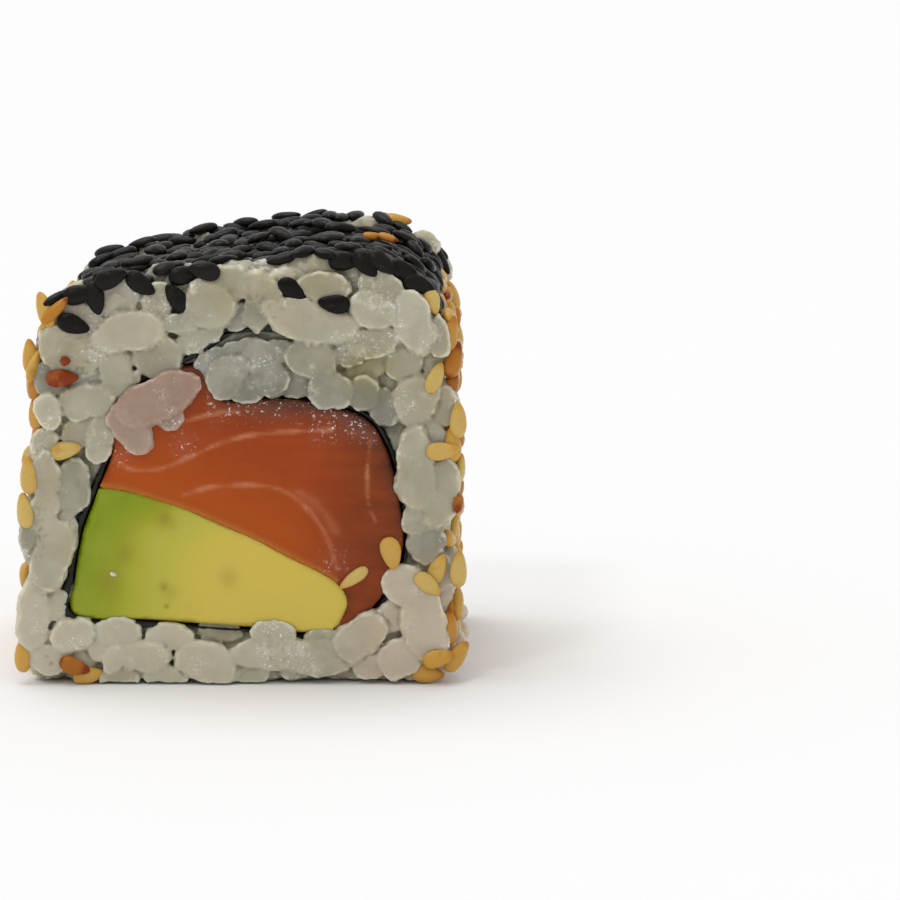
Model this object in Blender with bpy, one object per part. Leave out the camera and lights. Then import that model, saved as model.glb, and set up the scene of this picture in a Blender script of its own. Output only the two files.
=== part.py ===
"""An uramaki roll: one cut piece of inside-out sushi, lying with its cut ends front and back.

Rice wraps a spiral sheet of nori, which wraps a slab of salmon and a wedge of avocado. Black sesame
lies on the top and toasted sesame on the sides and underneath. The cut faces look along -Y and +Y,
the roll rests on z = 0, and the origin is in the middle of the underside.
"""

import math
import random

import bmesh
import bpy
import numpy as np
from mathutils import Matrix, Vector
from mathutils.bvhtree import BVHTree

MM = 0.001

# Driving sizes of the whole piece.
WIDTH = 38.0 * MM
HEIGHT = 38.0 * MM
FILLING_LENGTH = 32.6 * MM
RICE_CORE_LENGTH = 31.4 * MM

# The seaweed sheet, and the slit that every piece keeps to its neighbour.
NORI_THICK = 0.5 * MM
SLIT = 0.3 * MM

# One cooked grain of rice and one sesame seed: length, width and thickness.
GRAIN = (7.2 * MM, 3.3 * MM, 2.9 * MM)
SEED = (3.2 * MM, 2.05 * MM, 1.1 * MM)

# The bare core lies this far under the outer outline, and grains and seeds fill the rest.
CORE_INSET = 0.75 * MM
UNDERSIDE = 0.35 * MM

FACE_GRAIN_TRIES = 900
TOP_GRAINS = 14
BLACK_SEEDS = 72
TOASTED_SEEDS = 104
RANDOM_SEED = 11

# The outer outline of the rice as shares of half the width and of the height, anticlockwise.
OUTER_SHAPE = (
    (-0.84, 0.0), (0.84, 0.0), (0.965, 0.045), (0.99, 0.2), (1.0, 0.44), (0.985, 0.67),
    (0.945, 0.86), (0.83, 0.945), (0.66, 0.985), (0.4, 1.0), (0.1, 0.985), (-0.25, 0.955),
    (-0.58, 0.935), (-0.79, 0.895), (-0.885, 0.82), (-0.925, 0.68), (-0.96, 0.5), (-0.985, 0.28),
    (-0.975, 0.06),
)

# The filling inside the seaweed, in millimetres across and up, anticlockwise from its low left corner.
FILLING_SHAPE = (
    (-14.0, 6.9), (-7.8, 6.3), (1.7, 5.6), (6.5, 5.2), (10.4, 6.1), (13.1, 8.4), (14.5, 12.2),
    (14.1, 16.8), (13.3, 20.8), (11.5, 23.6), (8.0, 24.9), (3.6, 25.5), (-0.6, 25.3),
    (-2.3, 26.4), (-3.4, 27.8), (-5.2, 27.8), (-7.6, 27.0), (-9.6, 25.8), (-10.5, 23.6),
    (-10.9, 20.6), (-12.2, 17.2), (-13.5, 13.8), (-14.2, 10.2),
)

# The flap of seaweed that leaves the filling at its high left corner and rises over a tongue of rice.
FLAP_SHAPE = ((-2.6, 29.8), (0.0, 31.1), (2.6, 31.6), (4.9, 31.2))
FLAP_LEAVES_AT = (-5.3, 28.3)
INNER_END_AT = (-1.2, 25.9)

# The cut end of the avocado wedge. Where it passes the filling's edge, that edge bounds it.
AVOCADO_SHAPE = (
    (-17.5, 18.3), (-12.3, 17.9), (-8.6, 17.2), (-3.6, 15.4), (1.2, 13.3), (5.6, 10.9),
    (8.9, 9.2), (9.9, 7.7), (9.2, 6.3), (7.6, 5.0), (6.0, 2.6), (-17.5, 2.6),
)

# Seeds that stuck to the front cut: across and up in millimetres, and turn in degrees.
SEEDS_ON_SALMON = ((13.1, 12.2, 105.0), (10.3, 9.9, 35.0))
BLACK_ON_FRONT = ((-14.1, 32.0, 160.0), (-5.1, 34.5, 118.0), (5.1, 35.0, 140.0), (8.6, 34.0, 170.0))
TOASTED_ON_FRONT = ((-15.0, 27.5, 175.0), (-15.2, 21.2, 20.0), (17.0, 9.2, 150.0))

# From front to back the filling drifts and turns a little, as in a roll cut by hand.
DRIFT = (0.5 * MM, -0.25 * MM)
TURN = math.radians(-3.0)
TURN_CENTRE = (0.0, 16.0 * MM)

# The high left shoulder sags towards the back: the most that it moves, across and up.
SLUMP = (1.0 * MM, -1.4 * MM)


def clear_scene():
    for obj in list(bpy.data.objects):
        bpy.data.objects.remove(obj, do_unlink=True)


def material(name, colour, roughness):
    made = bpy.data.materials.new(name)
    made.use_nodes = True
    shader = made.node_tree.nodes["Principled BSDF"]
    shader.inputs["Base Color"].default_value = (*colour, 1.0)
    shader.inputs["Roughness"].default_value = roughness
    shader.inputs["Metallic"].default_value = 0.0
    made.diffuse_color = (*colour, 1.0)
    return made


def even_points(points, spacing, closed):
    """A smooth curve through the points (Catmull-Rom), read off at an even spacing."""
    p = np.array(points, float)
    if closed:
        p = np.vstack([p[-1], p, p[0], p[1]])
    else:
        p = np.vstack([2 * p[0] - p[1], p, 2 * p[-1] - p[-2]])
    steps = np.linspace(0, 1, 24, endpoint=False)[:, None]
    fine = []
    for a, b, c, d in zip(p, p[1:], p[2:], p[3:]):
        fine.append(
            0.5
            * (2 * b + (c - a) * steps + (2 * a - 5 * b + 4 * c - d) * steps**2
               + (3 * b - a - 3 * c + d) * steps**3)
        )
    fine = np.vstack([*fine, p[-2]])
    along = np.concatenate([[0], np.cumsum(np.linalg.norm(np.diff(fine, axis=0), axis=1))])
    count = max(4, round(along[-1] / spacing))
    at = np.linspace(0, along[-1], count + 1)
    if closed:
        at = at[:-1]
    return np.stack([np.interp(at, along, fine[:, k]) for k in range(2)], axis=1)


def normals_of(path, closed):
    """The right-hand normal at each point: outwards on an anticlockwise loop."""
    if closed:
        tangent = np.roll(path, -1, axis=0) - np.roll(path, 1, axis=0)
    else:
        tangent = np.gradient(path, axis=0)
    tangent /= np.linalg.norm(tangent, axis=1)[:, None]
    return np.stack([tangent[:, 1], -tangent[:, 0]], axis=1)


def offset(path, distance, closed):
    return path + normals_of(path, closed) * distance


def outer_outline(inset, spacing):
    """The rice's outline, inset by a distance, and by the underside's own smaller inset at its foot."""
    half = WIDTH / 2
    loop = offset(
        even_points([(x * half, z * HEIGHT) for x, z in OUTER_SHAPE], spacing, True), -inset, True
    )
    loop[:, 1] = np.maximum(loop[:, 1], UNDERSIDE if inset else 0.0)
    return loop


def filling_outline(grow, spacing=1.7 * MM):
    loop = even_points([(x * MM, z * MM) for x, z in FILLING_SHAPE], spacing, True)
    return offset(loop, grow, True)


def nori_path(spacing=1.7 * MM):
    """The middle of the seaweed: from the flap's end, down the left side, round, and over the top."""
    around = filling_outline(SLIT + NORI_THICK / 2, spacing)
    leave = np.array(FLAP_LEAVES_AT) * MM
    first = int(np.argmin(np.linalg.norm(around - leave, axis=1)))
    around = np.roll(around, -first, axis=0)
    stop = int(np.argmin(np.linalg.norm(around - np.array(INNER_END_AT) * MM, axis=1)))
    flap = np.array(FLAP_SHAPE)[::-1] * MM
    route = np.vstack([flap, around[: stop + 1]])
    return even_points(route, spacing, False)


def strip(path, half_width, extra_end):
    """The outline of a band along an open path, its ends longer by a little."""
    tangent_a = path[0] - path[1]
    tangent_b = path[-1] - path[-2]
    ends = path.copy()
    ends[0] += tangent_a / np.linalg.norm(tangent_a) * extra_end
    ends[-1] += tangent_b / np.linalg.norm(tangent_b) * extra_end
    return np.vstack([offset(ends, half_width, False), offset(ends, -half_width, False)[::-1]])


def prism(name, outline, length):
    """A solid with this section in X and Z, centred along Y."""
    mesh = bpy.data.meshes.new(name)
    build = bmesh.new()
    front = [build.verts.new((x, -length / 2, z)) for x, z in outline]
    face = build.faces.new(front)
    pushed = bmesh.ops.extrude_face_region(build, geom=[face])
    back = [item for item in pushed["geom"] if isinstance(item, bmesh.types.BMVert)]
    bmesh.ops.translate(build, verts=back, vec=(0, length, 0))
    bmesh.ops.triangulate(build, faces=build.faces[:])
    bmesh.ops.recalc_face_normals(build, faces=build.faces[:])
    build.to_mesh(mesh)
    build.free()
    obj = bpy.data.objects.new(name, mesh)
    bpy.context.scene.collection.objects.link(obj)
    return obj


def apply_modifiers(obj):
    graph = bpy.context.evaluated_depsgraph_get()
    mesh = bpy.data.meshes.new_from_object(obj.evaluated_get(graph))
    obj.modifiers.clear()
    obj.data = mesh


def combine(obj, other, operation, solver="EXACT"):
    """Applies one Boolean with an object or a whole collection, and removes what it used."""
    modifier = obj.modifiers.new(operation.title(), "BOOLEAN")
    modifier.operation = operation
    modifier.solver = solver
    modifier.material_mode = "TRANSFER"
    if isinstance(other, bpy.types.Collection):
        modifier.operand_type = "COLLECTION"
        modifier.collection = other
        used = list(other.objects)
    else:
        modifier.object = other
        used = [other]
    apply_modifiers(obj)
    for item in used:
        bpy.data.objects.remove(item, do_unlink=True)


def lump(sides, taper):
    """A closed form along X from -1 to 1, of few faces, drawn in towards +X by its taper."""
    build = bmesh.new()
    bmesh.ops.create_uvsphere(build, u_segments=sides, v_segments=3, radius=1.0)
    bmesh.ops.rotate(build, verts=build.verts[:], matrix=Matrix.Rotation(math.pi / 2, 3, "Y"))
    for vertex in build.verts:
        if abs(vertex.co.x) < 0.9:
            vertex.co.yz *= 1.12 - taper * vertex.co.x
    bmesh.ops.triangulate(build, faces=build.faces[:])
    bmesh.ops.recalc_face_normals(build, faces=build.faces[:])
    mesh = bpy.data.meshes.new("lump")
    build.to_mesh(mesh)
    build.free()
    return mesh


def grain_mesh():
    return lump(6, 0.0)


def seed_mesh():
    """A drop: blunt behind and drawn to a point in front."""
    return lump(5, 0.3)


def place(collection, mesh, centre, along, outward, size, paint):
    """A copy of a unit form with its length along one direction and its thickness outwards."""
    outward = Vector(outward).normalized()
    along = Vector(along)
    along = (along - outward * along.dot(outward)).normalized()
    across = outward.cross(along)
    turned = Matrix((along, across, outward)).transposed().to_4x4()
    scaled = Matrix.Diagonal((size[0] / 2, size[1] / 2, size[2] / 2, 1.0))
    own = mesh.copy()
    own.transform(Matrix.Translation(centre) @ turned @ scaled)
    own.materials.clear()
    own.materials.append(paint)
    obj = bpy.data.objects.new("piece", own)
    collection.objects.link(obj)
    return obj


def distance_to_loop(points, loop):
    """The least distance from any of the points to the sides of a loop."""
    a = loop
    b = np.roll(loop, -1, axis=0)
    p = np.array(points)[:, None, :]
    side = b - a
    t = np.clip(((p - a) * side).sum(2) / (side**2).sum(1), 0, 1)
    return float(np.linalg.norm(p - (a + side * t[..., None]), axis=2).min())


def inside(point, loop):
    x, z = point
    a, b = loop, np.roll(loop, -1, axis=0)
    crosses = (a[:, 1] > z) != (b[:, 1] > z)
    at = a[:, 0] + (z - a[:, 1]) * (b[:, 0] - a[:, 0]) / np.where(crosses, b[:, 1] - a[:, 1], 1.0)
    return bool((crosses & (x < at)).sum() % 2)


def segment_gap(first, second):
    """The least distance between two short segments, each given by points along it."""
    gap = np.array(first)[:, None, :] - np.array(second)[None, :, :]
    return float(np.linalg.norm(gap, axis=2).min())


def rice_core(outline):
    """The bare ring of rice, with the room for the filling and for the seaweed taken out."""
    core = prism("rice", outline, RICE_CORE_LENGTH)
    longer = RICE_CORE_LENGTH + 10 * MM
    combine(core, prism("slit", strip(nori_path(), NORI_THICK / 2 + SLIT, SLIT), longer), "DIFFERENCE")
    combine(core, prism("hole", filling_outline(SLIT), longer), "DIFFERENCE")
    return core


def face_grains(draw, outline, side):
    """Grains on one cut face: (middle, direction, length), spread over the ring and off the filling."""
    loops = (filling_outline(SLIT), strip(nori_path(), NORI_THICK / 2 + SLIT, SLIT))
    placed = []
    half_wide = GRAIN[1] / 2
    centre = np.array((0.0, HEIGHT / 2))
    for share in (1.0, 0.74, 0.5):
        reach = max(0.0, (GRAIN[0] * share - GRAIN[1]) / 2)
        for _ in range(FACE_GRAIN_TRIES):
            point = np.array((draw.uniform(-0.5, 0.5) * WIDTH, draw.uniform(0.0, 1.0) * HEIGHT))
            spoke = point - centre
            turn = math.atan2(spoke[0], -spoke[1]) + draw.gauss(0.0, 0.55)
            direction = np.array((math.cos(turn), math.sin(turn)))
            line = [point + direction * reach * t for t in (-1.0, -0.5, 0.0, 0.5, 1.0)]
            if not all(inside(q, outline) for q in line) or inside(point, loops[0]):
                continue
            if min(distance_to_loop(line, loop) for loop in loops) < half_wide + 0.15 * MM:
                continue
            if distance_to_loop(line, outline) < half_wide * 0.35:
                continue
            if any(segment_gap(line, other[3]) < GRAIN[1] * 0.74 for other in placed):
                continue
            placed.append((point, direction, GRAIN[0] * share, line))
    return [
        (Vector((p[0], side * RICE_CORE_LENGTH / 2, p[1])), Vector((d[0], 0.0, d[1])), length)
        for p, d, length, _ in placed
    ]


def wall_spots(draw, loop, count, allowed, spread):
    """Places spread evenly over the roll's wall: (point, outward, along the loop), by best of several tries."""
    normals = normals_of(loop, True)
    candidates = [k for k in range(len(loop)) if allowed(normals[k], loop[k])]
    placed = []
    while len(placed) < count:
        best, best_gap = None, -1.0
        for _ in range(24):
            k = draw.choice(candidates)
            after = (k + 1) % len(loop)
            mix = draw.random()
            xz = loop[k] * (1 - mix) + loop[after] * mix
            point = Vector((xz[0], draw.uniform(-0.5, 0.5) * spread, xz[1]))
            gap = min(((point - other[0]).length for other in placed), default=1.0)
            if gap > best_gap:
                best, best_gap = (point, Vector((normals[k][0], 0.0, normals[k][1]))), gap
        placed.append(best)
    return placed


def tangent_turned(outward, angle):
    """A direction in the surface, turned by an angle from the roll's own axis."""
    return Matrix.Rotation(angle, 3, outward) @ Vector((0.0, 1.0, 0.0))


def soup_tree(objects):
    """A search tree over several meshes at once, for finding the outermost surface."""
    points, faces = [], []
    for obj in objects:
        start = len(points)
        points += [obj.matrix_world @ v.co for v in obj.data.vertices]
        faces += [tuple(start + i for i in polygon.vertices) for polygon in obj.data.polygons]
    return BVHTree.FromPolygons(points, faces)


def add_grains(draw, collection, outline, paint):
    mesh = grain_mesh()
    for side in (-1, 1):
        for centre, along, length in face_grains(draw, outline, side):
            wide = GRAIN[1] * draw.uniform(0.92, 1.08)
            size = (length * draw.uniform(0.92, 1.04), wide, GRAIN[2] * draw.uniform(0.95, 1.1))
            shift = Vector((0.0, side * draw.uniform(-0.5, -0.1) * MM, 0.0))
            tilt = Vector((0.0, draw.uniform(-0.25, 0.25), 0.0))
            place(collection, mesh, centre + shift, along + tilt, (0.02, side, 0.03), size, paint)
    loop = outer_outline(0.0, 2.0 * MM)
    for point, outward in wall_spots(
        draw, loop, TOP_GRAINS, lambda n, p: p[1] > 0.8 * HEIGHT, RICE_CORE_LENGTH - 4.5 * MM
    ):
        depth = GRAIN[2] * 0.5 + draw.uniform(-0.1, 0.35) * MM
        size = (GRAIN[0] * draw.uniform(0.8, 1.0), GRAIN[1], GRAIN[2])
        along = tangent_turned(outward, draw.uniform(0.0, math.pi))
        place(collection, mesh, point - outward * depth, along, outward, size, paint)
    under = Vector((0.0, 0.0, GRAIN[2] * 0.3))
    place(collection, mesh, under, (1.0, 0.3, 0.0), (0.0, 0.0, -1.0), GRAIN, paint)


def add_seeds(draw, collection, tree, paint, count, allowed):
    """Seeds pressed into the surface that is there, each lying flat on it."""
    mesh = seed_mesh()
    loop = outer_outline(0.0, 1.5 * MM)
    for point, outward in wall_spots(draw, loop, count, allowed, RICE_CORE_LENGTH - 1.0 * MM):
        start = point + outward * 4 * MM
        hit, normal, _, _ = tree.ray_cast(start, -outward, 8 * MM)
        if hit is None:
            continue
        facing = (normal + outward * 1.5).normalized()
        size = [side * draw.uniform(0.92, 1.08) for side in SEED]
        lift = SEED[2] * 0.12
        along = tangent_turned(facing, draw.uniform(0.0, 2 * math.pi))
        place(collection, mesh, hit + facing * lift, along, facing, size, paint)


def add_front_seeds(collection, tree, paint, seeds):
    mesh = seed_mesh()
    for x, z, turn in seeds:
        start = Vector((x * MM, -FILLING_LENGTH, z * MM))
        hit, normal, _, _ = tree.ray_cast(start, Vector((0.0, 1.0, 0.0)), FILLING_LENGTH)
        facing = (normal + Vector((0.0, -2.0, 0.0))).normalized()
        angle = math.radians(turn)
        along = (math.cos(angle), 0.0, math.sin(angle))
        place(collection, mesh, hit + facing * SEED[2] * 0.12, along, facing, SEED, paint)


def keep_largest_piece(obj):
    """Drops loose scraps and the walls of sealed hollows, which fills them."""
    build = bmesh.new()
    build.from_mesh(obj.data)
    left = set(build.faces)
    islands = []
    while left:
        stack = [left.pop()]
        island = []
        while stack:
            face = stack.pop()
            island.append(face)
            for edge in face.edges:
                for other in edge.link_faces:
                    if other in left:
                        left.remove(other)
                        stack.append(other)
        volume = sum(
            f.verts[0].co.dot(f.verts[i].co.cross(f.verts[i + 1].co)) / 6
            for f in island
            for i in range(1, len(f.verts) - 1)
        )
        islands.append((volume, island))
    islands.sort(key=lambda item: item[0])
    scraps = [face for _, island in islands[:-1] for face in island]
    bmesh.ops.delete(build, geom=scraps, context="FACES")
    loose = [v for v in build.verts if not v.link_faces]
    bmesh.ops.delete(build, geom=loose, context="VERTS")
    build.to_mesh(obj.data)
    build.free()


def smooth_step(value, low, high):
    t = min(1.0, max(0.0, (value - low) / (high - low)))
    return t * t * (3 - 2 * t)


def drift(objects):
    """Carries the inside of the roll over and round a little from front to back, and sags one shoulder."""
    outline = outer_outline(0.0, 1.5 * MM)
    for obj in objects:
        for vertex in obj.data.vertices:
            x, y, z = vertex.co
            share = y / FILLING_LENGTH + 0.5
            hold = min(1.0, distance_to_loop([(x, z)], outline) / (2.6 * MM))
            if not inside((x, z), outline):
                hold = 0.0
            amount = share * hold
            turn = TURN * amount
            dx, dz = x - TURN_CENTRE[0], z - TURN_CENTRE[1]
            x = TURN_CENTRE[0] + dx * math.cos(turn) - dz * math.sin(turn) + DRIFT[0] * amount
            z = TURN_CENTRE[1] + dx * math.sin(turn) + dz * math.cos(turn) + DRIFT[1] * amount
            sag = min(1.0, max(0.0, share))
            sag *= smooth_step(-x, 3 * MM, 17 * MM) * smooth_step(z, 18 * MM, 36 * MM)
            vertex.co = (x + SLUMP[0] * sag, y, z + SLUMP[1] * sag)


def stand_on_floor(obj):
    """Cuts the underside flat at z = 0, as the rice is pressed by its own weight."""
    below = prism("floor", np.array(((-1, -0.4), (1, -0.4), (1, 0.0), (-1, 0.0))) * WIDTH, 2 * WIDTH)
    combine(obj, below, "DIFFERENCE", "MANIFOLD")


def make_rice(paints):
    draw = random.Random(RANDOM_SEED)
    outline = outer_outline(CORE_INSET, 2.4 * MM)
    rice = rice_core(outline)
    rice.data.materials.clear()
    for paint in paints:
        rice.data.materials.append(paint)
    pieces = bpy.data.collections.new("pieces")
    bpy.context.scene.collection.children.link(pieces)
    add_grains(draw, pieces, outline, paints[0])
    tree = soup_tree([rice, *pieces.objects])
    add_seeds(draw, pieces, tree, paints[1], BLACK_SEEDS, lambda n, p: p[1] > 0.86 * HEIGHT)
    add_seeds(draw, pieces, tree, paints[2], TOASTED_SEEDS, lambda n, p: p[1] < 0.85 * HEIGHT)
    add_front_seeds(pieces, tree, paints[1], BLACK_ON_FRONT)
    add_front_seeds(pieces, tree, paints[2], TOASTED_ON_FRONT)
    combine(rice, pieces, "UNION", "MANIFOLD")
    bpy.data.collections.remove(pieces)
    stand_on_floor(rice)
    keep_largest_piece(rice)
    return rice


def make_nori(paint):
    nori = prism("nori", strip(nori_path(), NORI_THICK / 2, 0.0), FILLING_LENGTH)
    nori.data.materials.append(paint)
    return nori


def make_filling(salmon_paint, avocado_paint, seed_paint):
    """The slab of salmon and the wedge of avocado, parted by a narrow slit."""
    longer = FILLING_LENGTH + 10 * MM
    wedge = even_points([(x * MM, z * MM) for x, z in AVOCADO_SHAPE[:-2]], 1.6 * MM, False)
    corners = np.array(AVOCADO_SHAPE[-2:]) * MM
    salmon = prism("salmon", filling_outline(0.0), FILLING_LENGTH)
    combine(salmon, prism("wedge", offset_wedge(wedge, corners, SLIT), longer), "DIFFERENCE")
    avocado = prism("avocado", filling_outline(0.0), FILLING_LENGTH)
    combine(avocado, prism("wedge", offset_wedge(wedge, corners, 0.0), longer), "INTERSECT")
    salmon.data.materials.clear()
    salmon.data.materials.append(salmon_paint)
    salmon.data.materials.append(seed_paint)
    avocado.data.materials.clear()
    avocado.data.materials.append(avocado_paint)
    pieces = bpy.data.collections.new("seeds")
    bpy.context.scene.collection.children.link(pieces)
    for x, z, turn in SEEDS_ON_SALMON:
        angle = math.radians(turn)
        centre = Vector((x * MM, -FILLING_LENGTH / 2 - SEED[2] * 0.15, z * MM))
        along = (math.cos(angle), 0.0, math.sin(angle))
        place(pieces, seed_mesh(), centre, along, (0.0, -1.0, 0.0), SEED, seed_paint)
    combine(salmon, pieces, "UNION")
    bpy.data.collections.remove(pieces)
    return salmon, avocado


def offset_wedge(wedge, corners, grow):
    """The avocado's section, its curved sides moved out by a distance."""
    return np.vstack([offset(wedge, -grow, False), corners])[::-1]


def main():
    clear_scene()
    rice_white = material("rice_white", (0.62, 0.60, 0.50), 0.35)
    sesame_black = material("sesame_black", (0.018, 0.016, 0.015), 0.45)
    sesame_toasted = material("sesame_toasted", (0.62, 0.38, 0.12), 0.4)
    nori_green = material("nori_green", (0.012, 0.016, 0.008), 0.55)
    salmon_orange = material("salmon_orange", (0.46, 0.10, 0.025), 0.25)
    avocado_green = material("avocado_green", (0.50, 0.48, 0.10), 0.35)
    rice = make_rice((rice_white, sesame_black, sesame_toasted))
    nori = make_nori(nori_green)
    salmon, avocado = make_filling(salmon_orange, avocado_green, sesame_toasted)
    drift([rice, nori, salmon, avocado])
    for obj in (rice, nori, salmon, avocado):
        obj.data.shade_smooth()
        obj.data.set_sharp_from_angle(angle=math.radians(50))


main()
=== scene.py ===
"""The looks of the uramaki roll: its rice grain by grain, its seeds, its seaweed and its filling.

Every length is in millimetres until a mesh is made. A section is drawn in X (across) and Z (up), and Y runs
from the front cut face at -Y to the back cut face at +Y.
"""

import math

import bpy
import numpy as np
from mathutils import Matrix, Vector, noise
from mathutils.bvhtree import BVHTree
from mathutils.geometry import delaunay_2d_cdt
from mathutils.kdtree import KDTree


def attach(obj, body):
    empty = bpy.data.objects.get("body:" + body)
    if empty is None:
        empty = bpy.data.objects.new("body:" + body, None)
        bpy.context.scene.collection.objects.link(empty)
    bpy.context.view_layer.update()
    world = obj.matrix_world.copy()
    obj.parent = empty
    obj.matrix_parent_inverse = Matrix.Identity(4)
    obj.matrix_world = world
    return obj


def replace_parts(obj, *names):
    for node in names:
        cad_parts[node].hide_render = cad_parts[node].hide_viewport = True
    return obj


MM = 0.001
RANDOM_SEED = 7

noise.seed_set(RANDOM_SEED)
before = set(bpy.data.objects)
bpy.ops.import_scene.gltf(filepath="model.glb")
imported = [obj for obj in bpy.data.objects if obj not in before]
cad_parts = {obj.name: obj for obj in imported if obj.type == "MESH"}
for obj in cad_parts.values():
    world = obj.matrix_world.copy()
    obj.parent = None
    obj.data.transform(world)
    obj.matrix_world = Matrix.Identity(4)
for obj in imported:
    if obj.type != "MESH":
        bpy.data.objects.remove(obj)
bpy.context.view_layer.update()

# Sizes and counts

WIDTH = 38.0
HEIGHT = 38.0
# From the middle to either cut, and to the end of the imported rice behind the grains.
FACE = 16.3
CORE_FACE = 15.2
NORI_THICK = 0.5
# The room between filling and seaweed, and between salmon and avocado, which overlap by a hair.
SLIT = 0.12
SEAM = -0.04
# How high the rice starts, and how far behind the cut the wall's grains end.
RICE_FOOT = 0.12
WALL_PRESS = 0.25
# The bulge that counts as a full rim or cleft for the painted highlight and shade, and the highest bump that
# a seed stays on.
FULL_BULGE = 0.06
HIGHEST_SEAT = 0.7

# Length, width and thickness.
GRAIN = (7.2, 3.3, 2.8)
SEED = (2.95, 1.55, 1.05)
BLACK_SEED = (3.05, 1.7, 0.95)

# How finely each skin of rice is melted, and the most triangles in one.
VOXELS = {"rice_front": 0.145, "rice_skin": 0.25, "rice_back": 0.19, "rice_over_salmon": 0.14}
MOST_TRIANGLES = 190000

# Grains between the ones listed below, in the layer under each cut, on the back cut and over the wall.
FRONT_FILL = 34
BURIED_GRAINS = 95
BACK_GRAINS = 80
WALL_GRAINS = 330

# Shares of the height above which the seeds are black, on the left and on the right.
BLACK_FROM_LEFT = 0.885
BLACK_FROM_RIGHT = 0.87
# Rounds of black seeds: how many, tries for the emptiest place, and how deep they sink.
BLACK_ROUNDS = ((260, 14, 0.3), (160, 6, 0.38))
# Rounds of toasted seeds: how many, tries, lowest place, highest share of the height, and distance to a cut.
TOASTED_ROUNDS = ((480, 14, -1.0, 0.875, 0.5), (220, 6, 1.5, 0.86, 1.5))

OUTER_SHAPE = (
    (-0.84, 0.0), (0.84, 0.0), (0.965, 0.045), (0.99, 0.2), (1.0, 0.44), (0.985, 0.67),
    (0.945, 0.86), (0.83, 0.945), (0.66, 0.985), (0.4, 1.0), (0.1, 0.985), (-0.25, 0.955),
    (-0.58, 0.935), (-0.79, 0.895), (-0.885, 0.82), (-0.925, 0.68), (-0.96, 0.5), (-0.985, 0.28),
    (-0.975, 0.06),
)
FILLING_SHAPE = (
    (-14.3, 6.1), (-7.8, 5.65), (1.7, 5.0), (6.5, 4.55), (10.3, 5.5), (13.1, 8.2), (14.7, 12.2),
    (14.3, 16.8), (13.3, 20.8), (11.5, 23.6), (8.0, 24.9), (3.6, 25.5), (-0.6, 25.3),
    (-2.0, 26.5), (-3.0, 28.2), (-5.1, 28.2), (-7.6, 27.1), (-9.6, 25.8), (-10.5, 23.6),
    (-10.9, 20.6), (-12.2, 17.2), (-13.5, 13.8), (-14.3, 9.6),
)
FLAP_SHAPE = ((-2.7, 29.9), (-0.6, 31.2), (2.4, 31.7), (4.9, 31.4))
FLAP_LEAVES_AT = (-5.3, 28.7)
INNER_END_AT = (-1.2, 25.9)
AVOCADO_SHAPE = (
    (-17.5, 17.9), (-12.3, 17.6), (-8.6, 17.0), (-3.6, 15.3), (1.2, 13.15), (5.6, 10.9),
    (8.9, 9.0), (9.85, 7.4), (9.3, 5.8), (8.2, 4.4), (6.6, 2.0), (-17.5, 2.0),
)

# From the front cut to the back one, the inside shifts and turns by this much. Near the skin it fades out.
DRIFT = (0.5, -0.25)
DRIFT_FADE = 2.6
TURN = math.radians(-3.0)
TURN_CENTRE = (0.0, 16.0)
# The shoulders at the back: side, where the move starts and is full across, the same upwards, and the move.
SHOULDERS = ((-1, 3.0, 17.0, 18.0, 36.0, (0.6, -0.8)), (1, 4.0, 15.0, 20.0, 34.0, (0.5, -0.05)))

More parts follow.
